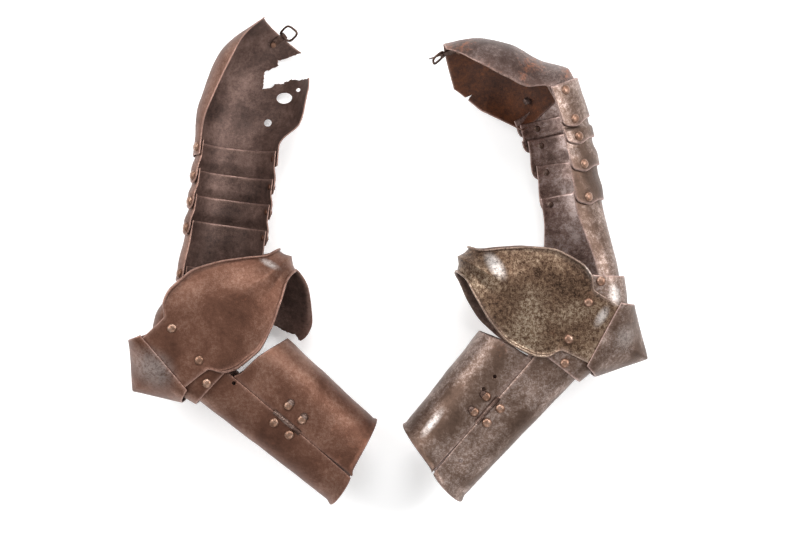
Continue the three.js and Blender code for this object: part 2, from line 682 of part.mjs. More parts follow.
function buildArm(arm) {
  const { side, metal, bends } = arm;
  const name = (label) => `${side}_${label}`;
  const placed = new THREE.Group();
  placed.position.set(arm.place.x, arm.place.y, 0);
  if (arm.mirror) placed.scale.x = -1;
  const couter = new THREE.Group();
  couter.rotation.z = degrees(arm.couterTurn);
  placed.add(couter);
  const put = (group, label, solid, finish = metal) => (
    group.add(mesh(name(label), toGeometry(solid), finish))
  );
  const putRivet = (group, label, geometry) => group.add(mesh(name(label), geometry, 'rivet'));

  const wing = makePlate('couter_wing', wingSurface(arm), 28, 6);
  const { breakShares } = arm;
  wing.solid = pierce(wing.solid, breakShares.couter_wing, 0, -1);
  const cop = makePlate('couter_point', copSurface(arm), 12, 8);
  const upperLame = makePlate('upper_elbow_lame', arm.mirror
    ? elbowLameSurface(1) : twistedLameSurface(arm), arm.mirror ? 3 : 6, arm.mirror ? 12 : 12);
  const lowerLame = makePlate('lower_elbow_lame', elbowLameSurface(-1), 3, 12);
  const forearmBack = makePlate('lower_cannon_back', forearmSurface(arm, false), 6, 12);
  const forearmFront = makePlate('lower_cannon_front', forearmSurface(arm, true), 6, 14);
  forearmBack.solid = pierce(forearmBack.solid, breakShares.lower_cannon_back, 0, 1);
  forearmFront.solid = pierce(forearmFront.solid, breakShares.lower_cannon_front, 0, 1);
  const up = zAxis;
  const down = zAxis.clone().negate();

  const upperRivet = rivetPair(wing, upperLame, innerPivot(1), up, false);
  rivetPair(wing, upperLame, innerPivot(1), down, true);
  const lowerRivet = rivetPair(wing, lowerLame, innerPivot(-1), up, false);
  rivetPair(wing, lowerLame, innerPivot(-1), down, true);
  const wristRivet = rivetPair(lowerLame, forearmBack, outerPivot(-1), up, false);
  rivetPair(lowerLame, forearmBack, outerPivot(-1), down, true);
  putRivet(couter, 'elbow_rivet_b', upperRivet);
  putRivet(couter, 'elbow_rivet_c', lowerRivet);

  const lower = hinge(couter, name('lower_elbow_lame'), innerPivot(-1), up, bends.lowerLame);
  const forearm = hinge(lower, name('lower_cannon'), outerPivot(-1), up, bends.lowerCannon);
  putRivet(lower, 'elbow_rivet_d', wristRivet);
  const { centre, axis, slot, backLeaf, frontLeaf, pin } = forearmHinge(arm);
  forearmBack.solid = forearmBack.solid.subtract(slot);
  forearmFront.solid = forearmFront.solid.subtract(slot);
  for (const { point, direction } of backLeaf.rivets) {
    forearmBack.solid = drill(forearmBack.solid, point, direction);
  }
  for (const { point, direction } of frontLeaf.rivets) {
    forearmFront.solid = drill(forearmFront.solid, point, direction);
  }
  put(lower, 'lower_elbow_lame', lowerLame.solid);
  put(forearm, 'lower_cannon_back', forearmBack.solid);
  put(forearm, 'hinge_leaf_back', backLeaf.solid, 'dark');
  forearm.add(mesh(name('hinge_pin'), pin, 'rivet'));
  const door = hinge(forearm, name('lower_cannon_front'), centre, axis, 0);
  put(door, 'lower_cannon_front', forearmFront.solid);
  put(door, 'hinge_leaf_front', frontLeaf.solid, 'dark');

  const upper = hinge(couter, name('upper_elbow_lame'), innerPivot(1), up, bends.upperLame);
  buildUpperArm(arm, upper, upperLame, put, putRivet);
  put(upper, 'upper_elbow_lame', upperLame.solid);
  put(couter, 'couter_wing', wing.solid);
  put(couter, 'couter_point', cop.solid);
  return placed;
}

// Where two upper arm plates turn on each other: a line through their near and far rivets.
function lameLine(arm, y) {
  const spot = (angle) => vector(Math.cos(degrees(angle)), 0, Math.sin(degrees(angle)));
  const near = spot(arm.rivetAngles.near);
  const far = spot(arm.rivetAngles.far);
  const origin = vector(0, y, 0);
  const point = near.clone().add(far).multiplyScalar(gutterRadius / 2).add(origin);
  return { origin, near, far, point, axis: near.clone().sub(far).normalize() };
}

function buildUpperArm(arm, upper, upperLame, put, putRivet) {
  const frame = new THREE.Group();
  frame.position.set(arm.chain.x, arm.chain.y, 0);
  frame.rotation.z = degrees(arm.chain.turn);
  frame.updateMatrix();
  const toChain = frame.matrix.clone().invert();
  upper.add(frame);
  const cannon = makePlate('upper_cannon', cannonSurface(arm), 4, 12);
  const inChain = {
    bare: upperLame.bare.clone().applyMatrix4(toChain),
    solid: toSolid(upperLame.bare.clone().applyMatrix4(toChain)),
  };
  const drilled = toSolid(toGeometry(upperLame.solid).applyMatrix4(toChain));
  inChain.solid = drilled;
  let line;
  let rivet;
  if (arm.mirror) {
    const pivot = outerPivot(1).applyMatrix4(toChain);
    line = { point: pivot, axis: zAxis };
    rivet = rivetPair(inChain, cannon, pivot, zAxis, false);
    rivetPair(inChain, cannon, pivot, zAxis.clone().negate(), true);
    putRivet(frame, 'elbow_rivet_a', rivet);
  } else {
    line = lameLine(arm, 0);
    rivet = rivetPair(cannon, inChain, line.origin, line.near, false);
    rivetPair(cannon, inChain, line.origin, line.far, true);
  }
  upperLame.solid = toSolid(toGeometry(inChain.solid).applyMatrix4(frame.matrix));
  let group = hinge(frame, `${arm.side}_upper_cannon`, line.point, line.axis, arm.bends.upperCannon);
  if (!arm.mirror) putRivet(group, 'elbow_rivet_a', rivet);

  const plates = [{ ...cannon, label: 'upper_cannon', group }];
  let y = arm.cannon.length;
  const rows = [...arm.lames, { name: 'spaulder', fan: arm.shoulderFan, pitch: 0 }];
  rows.forEach((row, i) => {
    const base = y;
    const last = i === rows.length - 1;
    const flush = arm.firstLameOutside && i === rows.length - 2;
    const local = last ? spaulderSurface(arm) : lameSurface(arm, row.pitch, flush);
    const surface = (u, v) => local(u, v).add(vector(0, base, 0));
    const made = last ? makePlate(row.name, surface, 12, 14) : makePlate(row.name, surface, 3, 12);
    const spot = lameLine(arm, base);
    const lowerOne = plates[plates.length - 1];
    group = hinge(group, `${arm.side}_${row.name}`, spot.point, spot.axis, row.fan);
    const lowerOutside = arm.firstLameOutside && last;
    const [outer, inner] = lowerOutside ? [lowerOne, made] : [made, lowerOne];
    const pin = rivetPair(outer, inner, spot.origin, spot.near, false);
    rivetPair(outer, inner, spot.origin, spot.far, true);
    putRivet(lowerOutside ? lowerOne.group : group, `arm_rivet_${i + 1}`, pin);
    plates.push({ ...made, label: row.name, group, surface });
    Object.assign(plates[plates.length - 1], { solid: made.solid });
    y += row.pitch;
  });
  const spaulder = plates[plates.length - 1];
  const { tab, loop, prong, bar, across, point, direction } = buckle(arm, spaulder.surface);
  const shoulder = y; // how far up the arm the spaulder turns
  spaulder.solid = pierce(spaulder.solid, arm.breakShares.spaulder, shoulder, -1);
  spaulder.solid = drill(spaulder.solid, point, direction);
  const drilledTab = drill(tab, point, direction);
  put(group, 'buckle_tab', drilledTab, 'dark');
  const stack = sheet + 6 * seatGap + chapeSheet;
  putRivet(group, 'buckle_rivet', aim(rivetGeometry(stack), point, direction));
  const swing = hinge(group, `${arm.side}_buckle_loop`, bar, across, arm.buckle.swing);
  put(swing, 'buckle_loop', loop, 'dark');
  if (prong) {
    const pivot = hinge(group, `${arm.side}_buckle_tongue`, bar, across, arm.buckle.swing);
    put(pivot, 'buckle_tongue', prong, 'dark');
  }
  for (const made of plates) put(made.group, made.label, made.solid);
}

// The left arm's longer lame, twisted between the elbow and the rolled upper cannon.
function twistedLameSurface(arm) {
  const low = pivotSpread / 2 - elbowTuck;
  const { x, y, turn } = arm.chain;
  const { near, far } = arm.opening;
  const lean = degrees(turn);
  const end = (reach) => ({ x: x - reach * Math.sin(lean), y: y + reach * Math.cos(lean) });
  const tuck = pivotSpread / 2 + elbowTuck;
  const ring = { wide: innerRadius, deep: innerRadius, square: 2, near, far, turn };
  const cheek = { wide: gutterRadius + sheet, deep: cheekDepth, square: 3.2, near: 97, far: 263 };
  return gutterSurface([
    { share: 0, x: x * 0.53, y: low, ...cheek },
    { share: 0.28, x: x * 0.6, y: tuck, ...cheek },
    { share: 0.74, ...end(-half), ...ring },
    { share: 1, ...end(half), ...ring },
  ]);
}

rest.add(buildArm(leftArm), buildArm(rightArm));

// The origin is under the middle of the pair, on the surface that it lies on.
const box = new THREE.Box3().setFromObject(rest, true);
rest.position.set(-(box.min.x + box.max.x) / 2, -(box.min.y + box.max.y) / 2, -box.min.z);

export default rest;
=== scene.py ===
"""Dresses the pair of plate arm defences: fine plates, rivets, fittings, old iron and the stage."""
import json
import math
import bpy
import numpy as np
from bpy.props import FloatProperty, FloatVectorProperty, IntProperty, PointerProperty
from mathutils import Matrix, Vector


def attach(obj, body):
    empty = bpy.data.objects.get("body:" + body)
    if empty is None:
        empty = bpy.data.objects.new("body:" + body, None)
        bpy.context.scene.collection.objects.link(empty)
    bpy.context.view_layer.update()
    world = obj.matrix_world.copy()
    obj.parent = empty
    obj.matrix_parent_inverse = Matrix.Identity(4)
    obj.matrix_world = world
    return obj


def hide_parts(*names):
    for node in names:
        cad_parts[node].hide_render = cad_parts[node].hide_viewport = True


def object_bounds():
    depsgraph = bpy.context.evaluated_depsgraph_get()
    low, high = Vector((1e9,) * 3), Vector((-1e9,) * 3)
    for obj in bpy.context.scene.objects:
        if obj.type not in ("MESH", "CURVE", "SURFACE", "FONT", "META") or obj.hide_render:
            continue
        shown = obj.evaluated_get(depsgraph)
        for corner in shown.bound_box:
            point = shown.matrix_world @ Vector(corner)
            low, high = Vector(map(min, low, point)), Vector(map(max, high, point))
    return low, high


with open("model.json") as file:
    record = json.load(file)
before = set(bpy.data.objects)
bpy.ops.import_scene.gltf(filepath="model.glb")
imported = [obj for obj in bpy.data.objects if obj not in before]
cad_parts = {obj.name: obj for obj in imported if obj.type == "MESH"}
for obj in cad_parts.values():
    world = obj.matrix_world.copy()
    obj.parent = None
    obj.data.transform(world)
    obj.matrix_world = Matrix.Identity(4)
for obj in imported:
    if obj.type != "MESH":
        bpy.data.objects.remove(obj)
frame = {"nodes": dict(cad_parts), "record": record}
CAD_LOW, CAD_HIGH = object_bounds()
JOINT_SPOTS = {
    joint["name"]: np.array(joint["pos_m"]) * 1000
    for joint in frame["record"]["behaviour"]["joints"] if "pos_m" in joint
}

bl_info = {
    "name": "Plate arm harness",
    "version": (1, 0, 0),
    "blender": (4, 5, 0),
    "location": "View3D > Sidebar > Armour",
    "description": "Builds the dressed plates of a pair of old plate arm defences",
    "category": "Add Mesh",
}

MM = 0.001

# Driving sizes in millimetres, the same as the solids have: sheet and upper arm
SHEET = 1.3
NEST_STEP = 2.7
SEAT_GAP = 0.3
GUTTER_RADIUS = 45
INNER_RADIUS = GUTTER_RADIUS - NEST_STEP
OVERLAP = 15.5
HALF = OVERLAP / 2

# Rivets; a head is drawn a little wider than its solid
HEAD_RADIUS = 4.6
HEAD_SHOWN = 5.1
HEAD_HEIGHT = 2.5
RIVET_SINK = 0.3
TAIL_SINK = 0.2
FAR_SEAT = 0.4

# Elbow
PIVOT_SPREAD = 43
PIVOT_SET_BACK = 12
PIVOT_STEP = 22
WING_FRONT = 137
WING_BACK = 34
WING_DEPTH = 52
WING_HEIGHT = 54.6
WING_CROWN = 7
WING_RIDGE = 7
WING_MIDDLE = WING_FRONT * 0.27
WING_REACH = WING_FRONT - WING_MIDDLE
RIM_ROLL = 2.2
COP_EDGE = 30
COP_HEIGHT = 43
COP_LIFT = 1.7
ELBOW_SPAN = 28
ELBOW_TUCK = 11
ELBOW_BACK = 39
ELBOW_FLARE = 5
CHEEK_DEPTH = 48.4

# Forearm, its hinge leaves and the buckle loop
FOREARM_LENGTH = 169
FOREARM_WIDTH = 55
FOREARM_DEPTH = 46
FOREARM_OFFSET = 32.5
WRIST_WIDTH = 47.7
WRIST_DEPTH = 42
WRIST_SLANT = 10
WRIST_BOW = 5
WRIST_ROLL = 2
SEAM_GAP = 0.8
SEAM_WIDEN = 0.9
LEAF_PLACE = 89
LEAF_WIDTH = 15
LEAF_RIVETS = 20
LOOP_WIRE = 1.3

# Fine form, and worn edges with their painted highlight, drawn here only
RIPPLE_SIZE = 46
EDGE_ROUND = 0.42
LOBE_WIDTH = 11
EDGE_WEAR_AND_SHEEN_REACH = 0.9
FOREARM_EDGE_WEAR_AND_SHEEN = 0.3
PLATE_EDGE_WEAR_AND_SHEEN = 0.75
PRISM_REACH = 3 * GUTTER_RADIUS
SKIN_GRID = 240

# Share along the plate and its height or cut, in shares of the wing's height or forearm's width
WING_HEIGHT_SHARES = [
    (-0.30, 0.60), (0.0, 0.635), (0.08, 0.885), (0.2, 1), (0.36, 1.01), (0.575, 0.83),
    (0.765, 0.55), (0.93, 0.3), (1.02, 0.27),
]
BACK_CUT_SHARES = [(-0.3, 0.18), (0.1, 0.18)]
FRONT_CUT_SHARES = [(0.08, -0.25), (0.24, -0.3), (0.4, -0.37), (0.62, -0.41), (1.01, -0.6)]

# Breaks and empty holes as outlines seen from above, in shares of the upper arm's radius.
TEAR_SHARES = [
    (1.69, 2.94), (1.29, 2.66), (1.21, 2.62), (0.66, 2.44), (0.68, 2.32), (0.37, 2.13),
    (0.38, 1.84), (0.36, 1.74), (0.55, 1.76), (0.66, 1.87), (0.83, 1.88), (1.02, 2.01),
    (1.19, 1.98), (1.62, 2), (1.86, 2.01),
]
BROKEN_WING_SHARES = [
    (0.49, -2.44), (1.95, -2.44), (1.92, -1.42), (1.75, -1.14), (1.69, -0.89), (1.38, -0.8),
    (1.11, -0.89), (0.8, -0.8), (0.49, -0.87),
]
NOTCH_SHARES = [(1.28, 0.8), (1.7, 0.58), (1.7, 0.86)]


def round_hole(x, y, wide, high=None, corners=28):
    """A round or oval hole as an outline of corners."""
    turn = np.arange(corners) * 2 * np.pi / corners
    return np.stack([x + wide * np.cos(turn), y + (high or wide) * np.sin(turn)], -1)


LEFT = {
    "side": "left", "mirror": False, "slot": "brown", "turn": 40.3, "elbow_point": 79,
    "bends": {"upper_lame": -45, "upper_cannon": 0, "lower_lame": 6, "lower_cannon": 3.3},
    "rivets": (155, 335), "opening": (144, 346), "seam_offset": 10,
    "lames": [("lame_3", 27.5, 0.8), ("lame_2", 27, 1), ("lame_1", 30, 1.5)],
    "shoulder_fan": 1.5, "first_outside": False, "far_drop": 1.7, "far_growth": 0, "base_drop": 0,
    "chain": (40.7, 75.5, -3.3), "cannon_length": 48.5, "elbow": (GUTTER_RADIUS, GUTTER_RADIUS, 2),
    "reach": 132,
    "spine": [
        (0.33, 0.073, 0.33, 1.21, 1.12, -4, 138, 350),
        (0.66, 0.147, 0.66, 1.15, 1.14, -14, 131, 345),
        (1, 0.306, 0.97, 0.72, 0.95, -33, 165, 335),
    ],
    "breaks": {
        "couter_wing": [BROKEN_WING_SHARES],
        "spaulder": [
            TEAR_SHARES, round_hole(0.92, 1.54, 0.19, 0.135), round_hole(1.24, 1.74, 0.05),
            round_hole(0.59, 0.92, 0.09),
        ],
        "lower_cannon_back": [round_hole(0.127, -1.44, 0.045)],
    },
}
RIGHT = {
    "side": "right", "mirror": True, "slot": "grey", "turn": 28.3, "elbow_point": 87,
    "bends": {"upper_lame": -26, "upper_cannon": -12.3, "lower_lame": 9, "lower_cannon": 3.7},
    "rivets": (126, 282), "opening": (106, 295), "seam_offset": 4.5,
    "lames": [("lame_4", 34.5, 3), ("lame_3", 29, -4), ("lame_2", 18.6, -2), ("lame_1", 31, -6)],
    "shoulder_fan": -13, "first_outside": True, "far_drop": 0.3, "far_growth": 20, "base_drop": 16,
    "chain": (10.7, 43.5, 0), "cannon_length": 88, "elbow": (45.5, 46, 3.4),
    "reach": 84,
    "spine": [
        (0.25, 0.2, 0.23, 0.93, 1.04, -22, 106, 318),
        (0.5, 0.37, 0.41, 1.02, 1.08, -42, 108, 314),
        (0.75, 0.6, 0.57, 1.08, 1.1, -60, 122, 298),
        (1, 0.83, 0.64, 1.1, 1.06, -76, 156, 274),
    ],
    "breaks": {
        "spaulder": [NOTCH_SHARES],
        "lower_cannon_back": [round_hole(0.05, -4.22, 0.045)],
        "lower_cannon_front": [round_hole(0.733, -2.25, 0.045), round_hole(0.733, -2.63, 0.045)],
    },
}
ARMS = (LEFT, RIGHT)


# Sheets of metal as functions of two shares

def mix(a, b, t):
    """a + (b - a) t"""
    return a + (b - a) * t


def smooth(x, low, high):
    """Eased step: 3t^2 - 2t^3 between low and high."""
    t = np.clip((x - low) / (high - low), 0, 1)
    return t * t * (3 - 2 * t)


def signed_power(value, power):
    """sign(v) |v|^p, the step that makes a superellipse of cosines and sines."""
    return np.sign(value) * np.abs(value) ** power


def along(keys, share):
    """Smooth curve through (share, value) keys: cubic pieces with harmonic slopes, no overshoot."""
    x = np.array([key[0] for key in keys], float)
    y = np.array([key[1] for key in keys], float)
    rise = np.diff(y) / np.diff(x)
    slope = np.empty_like(y)
    slope[0], slope[-1] = rise[0], rise[-1]
    product = rise[:-1] * rise[1:]
    total = rise[:-1] + rise[1:]
    slope[1:-1] = np.where(product > 0, 2 * product / np.where(total == 0, 1, total), 0)
    share = np.asarray(share, float)
    i = np.clip(np.searchsorted(x, share, side="right") - 1, 0, len(x) - 2)
    span = x[i + 1] - x[i]
    t = np.clip((share - x[i]) / span, 0, 1)
    rest = (2 * t**3 - 3 * t**2 + 1) * y[i] + (3 * t**2 - 2 * t**3) * y[i + 1]
    return rest + span * ((t**3 - 2 * t**2 + t) * slope[i] + (t**3 - t**2) * slope[i + 1])


def gutter(sections):
    """A plate bent round a line, with superellipse sections; an angle of 90 degrees faces up.

    A section says share, x, y, wide, deep, turn, square, near, far: where it lies, its half axes
    and its turn, the power of the superellipse and the angles of its two edges."""
    shares, *tracks = zip(*sections)

    def surface(u, v):
        x, y, wide, deep, turn, square, near, far = (
            along(list(zip(shares, track)), u) for track in tracks)
        angle = np.radians(mix(near, far, v))
        out = wide * signed_power(np.cos(angle), 2 / square)
        up = deep * signed_power(np.sin(angle), 2 / square)
        tilt = np.radians(turn)
        return np.stack([x + out * np.cos(tilt), y + out * np.sin(tilt), up], -1)

    return surface


def square_at(x):
    """Power of the elbow ring's superellipse, blunter behind its middle."""
    return np.where(x < WING_MIDDLE, 3.4, 2.1)


def ring_depth(x):
    """Half depth of the elbow ring at x: D (1 - |x / R|^p)^(1/p) about the ring's middle."""
    square = square_at(x)
    return WING_DEPTH * (1 - np.abs((x - WING_MIDDLE) / WING_REACH) ** square) ** (1 / square)


def wing(arm):
    """The elbow wing: a ring in plan, its height from the key curve, domed, ridged and rolled."""
    square = float(square_at(-WING_BACK))
    limit = math.acos(-(((WING_BACK + WING_MIDDLE) / WING_REACH) ** (square / 2)))

    def surface(u, v):
        angle = mix(limit, -limit, u)
        cosine = np.cos(angle)
        x = WING_MIDDLE + WING_REACH * signed_power(cosine, 2 / square_at(WING_MIDDLE + cosine))
        z = np.sign(angle) * ring_depth(x)
        side = mix(-1, 1, v)
        share = x / WING_FRONT
        is_far = smooth(-z / WING_DEPTH, 0, 0.6)
        front = smooth(share, 0.35, 0.95)
        drop = np.where(side < 0, 1 + arm["far_drop"] * is_far * front, 1)
        half = WING_HEIGHT * along(WING_HEIGHT_SHARES, share) * drop
        across = np.abs(side)
        dome = WING_CROWN * mix(across**2, across, front) * mix(1, 0.6, front) * (1 - 0.95 * is_far)
        ridge = WING_RIDGE * front * np.maximum(1 - across * 2.2, 0) * (1 - 0.6 * front**6)
        roll = RIM_ROLL * smooth(across, 0.88, 1) * smooth(share, -0.1, 0.2)
        lift = ridge + roll - dome * smooth(share, 0.05, 0.42)
        tilt = np.arctan2(z * WING_REACH, (x - WING_MIDDLE) * WING_DEPTH)
        return np.stack([x + lift * np.cos(tilt), side * half, z + lift * np.sin(tilt)], -1)

    return surface


def cop(arm):
    """The elbow point: a band round the back of the wing that rises to a blunt peak."""
    depth = float(ring_depth(-COP_EDGE)) + COP_LIFT
    shoulder = COP_HEIGHT * 0.38
    point = arm["elbow_point"] - COP_EDGE - shoulder

    def surface(u, v):
        turn = np.pi * u
        side = mix(1, -1, v)
        cosine = np.cos(turn)
        bulge = 1 - np.abs(cosine) ** 1.35
        peak = (1 - np.abs(side)) ** 0.95 * point * bulge**1.3
        back = -COP_EDGE - shoulder * np.abs(np.sin(turn)) ** 0.8 - peak
        height = COP_HEIGHT * mix(0.86, 1, np.sin(turn))
        return np.stack([back, side * height, depth * signed_power(cosine, 0.8)], -1)

    return surface


def elbow_lame(end):
    """Lobed strap round the back of the elbow, towards the shoulder (+1) or the wrist (-1)."""
    low = PIVOT_SPREAD / 2 - ELBOW_TUCK
    high = PIVOT_SPREAD / 2 + ELBOW_SPAN

    def section(share, y, back):
        return share, back * 0.12, y, back * 1.12, CHEEK_DEPTH, 0, 3.6, 84, 276

    strap = gutter([
        section(0, low, ELBOW_BACK + ELBOW_FLARE),
        section(0.5, (low + high) / 2, ELBOW_BACK + ELBOW_FLARE / 2 + ELBOW_BACK / 32),
        section(1, high, ELBOW_BACK),
    ])
    if end > 0:
        return strap
    return lambda u, v: strap(u, 1 - v) * np.array([1, -1, 1])


def twisted_lame(arm):
    """The longer lame between elbow and rolled upper cannon: a cheek that becomes a gutter."""
    x, y, turn = arm["chain"]
    lean = math.radians(turn)
    cheek = (GUTTER_RADIUS + SHEET, CHEEK_DEPTH, 0, 3.2, 97, 263)
    rolled_end = (INNER_RADIUS, INNER_RADIUS, turn, 2, *arm["opening"])

    def end(reach):
        return x - reach * math.sin(lean), y + reach * math.cos(lean)

    return gutter([
        (0, x * 0.53, PIVOT_SPREAD / 2 - ELBOW_TUCK, *cheek),
        (0.28, x * 0.6, PIVOT_SPREAD / 2 + ELBOW_TUCK, *cheek),
        (0.74, *end(-HALF), *rolled_end),
        (1, *end(HALF), *rolled_end),
    ])


def upper_strap(arm):
    """The lame above the elbow, short on the mirrored arm and long on the other."""
    return elbow_lame(1) if arm["mirror"] else twisted_lame(arm)


def far_edge(arm, way):
    """Angle of the far edge of an upper arm plate, at this share of the way to the shoulder."""
    return arm["opening"][1] + arm["far_growth"] * smooth(way, 0.35, 1)


def arm_lame(arm, pitch, flush, far):
    """A narrow lame: outside at its lower end, and inside at its upper end unless it is flush."""
    top = GUTTER_RADIUS if flush else INNER_RADIUS
    length = pitch + OVERLAP

    def at(share, y, radius):
        return share, 0, y, radius, radius, 0, 2, arm["opening"][0], far

    return gutter([
        at(0, -HALF, GUTTER_RADIUS), at(OVERLAP / length, HALF, GUTTER_RADIUS),
        at(pitch / length, pitch - HALF, top), at(1, pitch + HALF, top),
    ])


def upper_cannon(arm):
    """The upper arm gutter, from its seat at the elbow to its inner end under the first lame."""
    length = arm["cannon_length"]
    end = -HALF - SEAT_GAP
    total = length + HALF - end

    def at(y, wide, deep, square):
        return (y - end) / total, 0, y, wide, deep, 0, square, *arm["opening"]

    return gutter([
        at(end, *arm["elbow"]), at(HALF, *arm["elbow"]),
        at(length - HALF, INNER_RADIUS, INNER_RADIUS, 2),
        at(length + HALF, INNER_RADIUS, INNER_RADIUS, 2),
    ])


def spaulder(arm, straight=0.54):
    """The shoulder plate; up to a share of its length the far edge can run straight, and lower."""
    reach = arm["reach"]
    bottom = INNER_RADIUS if arm["first_outside"] else GUTTER_RADIUS
    total = reach + HALF
    edges = arm["opening"][0], far_edge(arm, 1)

    def level(y):
        return (y + HALF) / total, 0, y, bottom, bottom, 0, 2, *edges

    rows = [
        ((HALF + share * reach) / total, x * reach, y * reach,
         GUTTER_RADIUS * wide, GUTTER_RADIUS * deep, turn, 2, near, far)
        for share, x, y, wide, deep, turn, near, far in arm["spine"]
    ]
    shell = gutter([level(-HALF), level(HALF * 1.7), *rows])

    def surface(u, v):
        edge = shell(u, np.ones_like(u))
        base = shell(np.zeros_like(u), np.ones_like(u)) - [0, arm["base_drop"], 0]
        end = shell(np.full_like(u, straight), np.ones_like(u))
        line = mix(base, end, np.clip(u / straight, 0, 1)[..., None])
        pull = smooth(v, 0.4, 1) * (u < straight)
        return shell(u, v) + pull[..., None] * (line - edge)

    return surface if arm["base_drop"] else shell


def forearm(arm, front):
    """One half of the lower cannon: a tapering superellipse tube cut along both seams."""
    cuts = FRONT_CUT_SHARES if front else BACK_CUT_SHARES
    pivot = outer_pivot(-1)

    def section(way, v):
        square = mix(3.4, 2.2, way)
        wide = mix(FOREARM_WIDTH, WRIST_WIDTH, way)
        gape = SEAM_GAP / 2 + SEAM_WIDEN * smooth(way, 0.72, 1)
        seam = arm["seam_offset"] + (-gape if front else gape)
        edge = np.arccos(-((seam / wide) ** (square / 2)))
        angle = mix(edge, -edge, v) if front else mix(2 * np.pi - edge, edge, v)
        across, up = (signed_power(wave(angle), 2 / square) for wave in (np.cos, np.sin))
        return wide, across, up

    def surface(u, v):
        wide, across, up = section(np.zeros_like(v), v)
        share = (FOREARM_OFFSET + wide * across) / (FOREARM_OFFSET + FOREARM_WIDTH)
        top = along(cuts, share) * FOREARM_WIDTH
        y = mix(top, -FOREARM_LENGTH + WRIST_SLANT * across - WRIST_BOW * up ** 2, u)
        way = np.clip(-y / FOREARM_LENGTH, 0, 1)
        roll = WRIST_ROLL * smooth(u, 0.965, 1)
        wide, across, up = section(way, v)
        deep = mix(FOREARM_DEPTH, WRIST_DEPTH, way) + roll
        x = pivot[0] + FOREARM_OFFSET + (wide + roll) * across
        return np.stack([x, pivot[1] + y, deep * up], -1)

    return surface


def inner_pivot(end):
    """The rivet of the wing above (1) or below (-1) the elbow, in the elbow's own frame."""
    return np.array([0, end * PIVOT_SPREAD / 2, 0])


def outer_pivot(end):
    """The next rivet out from the elbow, between its strap and the cannon."""
    return np.array([-PIVOT_SET_BACK, end * (PIVOT_SPREAD / 2 + PIVOT_STEP), 0])


# Places: each plate is drawn straight and then turned about its rivets

def shift(x, y, z=0):
    return np.array(Matrix.Translation((x, y, z)))


def turn_about(point, axis, angle):
    """Matrix of a turn in degrees about an axis through a point."""
    turn = np.array(Matrix.Rotation(math.radians(angle), 4, Vector(axis)))
    return shift(*point) @ turn @ shift(*(-np.asarray(point)))


def rivet_line(arm, y):
    """The line through the near and far rivets of two upper arm plates, at y along the chain."""
    spots = [np.array([math.cos(a), 0, math.sin(a)]) for a in np.radians(arm["rivets"])]
    point = (spots[0] + spots[1]) * GUTTER_RADIUS / 2 + (0, y, 0)
    axis = (spots[0] - spots[1]) / np.linalg.norm(spots[0] - spots[1])
    return point, axis, spots


def places(arm):
    """Matrix from each plate's own straight frame to the rest pose, and the base of each lame."""
    bends, up = arm["bends"], (0, 0, 1)
    flip = np.diag([-1.0 if arm["mirror"] else 1.0, 1, 1, 1])
    turned = flip @ turn_about((0, 0, 0), up, arm["turn"])
    joint = JOINT_SPOTS[f"{arm['side']}_lower_elbow_lame_turn"]
    couter = shift(*(joint - (turned @ [*inner_pivot(-1), 1])[:3])) @ turned
    made = {"couter": couter}
    made["lower_elbow_lame"] = couter @ turn_about(inner_pivot(-1), up, bends["lower_lame"])
    lower = made["lower_elbow_lame"] @ turn_about(outer_pivot(-1), up, bends["lower_cannon"])
    made["lower_cannon"] = made["lower_cannon_front"] = lower
    made["upper_elbow_lame"] = couter @ turn_about(inner_pivot(1), up, bends["upper_lame"])
    x, y, turn = arm["chain"]
    chain = shift(x, y) @ turn_about((0, 0, 0), up, turn)
    if arm["mirror"]:
        point, axis = (np.linalg.inv(chain) @ [*outer_pivot(1), 1])[:3], up
    else:
        point, axis, _ = rivet_line(arm, 0)
    group = made["upper_elbow_lame"] @ chain @ turn_about(point, axis, bends["upper_cannon"])
    made["upper_cannon"] = group
    base, bases = arm["cannon_length"], {}
    for name, pitch, fan in [*arm["lames"], ("spaulder", 0, arm["shoulder_fan"])]:
        point, axis, _ = rivet_line(arm, base)
        group = group @ turn_about(point, axis, fan)
        made[name] = group
        bases[name] = base
        base += pitch
    return made, bases


for each_arm in ARMS:
    each_arm["frames"], each_arm["bases"] = places(each_arm)


# Meshes

def ripples(points, seed, size, depth):
    """Slow uneven waves of a hammered sheet: a sum of crossed sines in space."""
    draw = np.random.default_rng(seed)
    total = np.zeros(points.shape[:-1])
    for octave in range(5):
        way = draw.normal(size=3)
        way /= np.linalg.norm(way)
        wave = size / (1 + 0.45 * octave)
        phase = draw.uniform(0, 6.28)
        total += np.sin(points @ way * 2 * np.pi / wave + phase) / (1 + octave * 0.6)
    return total * depth / 2


def grid_faces(columns, rows, start=0, flip=False):
    """Four-cornered faces of a grid of points that is numbered row by row."""
    i, j = np.indices((columns, rows)).reshape(2, -1)
    across = rows + 1
    a = i * across + j + start
    order = [a, a + across, a + across + 1, a + 1]
    return np.stack([a, *order[:0:-1]] if flip else order, -1)


def normals_of(surface, u, v, step=1e-3):
    """Outward unit normals from small steps along both shares."""
    du = surface(np.minimum(u + step, 1), v) - surface(np.maximum(u - step, 0), v)
    dv = surface(u, np.minimum(v + step, 1)) - surface(u, np.maximum(v - step, 0))
    normal = np.cross(du, dv)
    return normal / np.maximum(np.linalg.norm(normal, axis=-1, keepdims=True), 1e-9)


def rolled(away, radius):
    """Height of a round bead of this radius along a rim, at a distance from the rim."""
    return radius * np.sqrt(np.clip(1 - ((away - radius) / radius) ** 2, 0, 1))


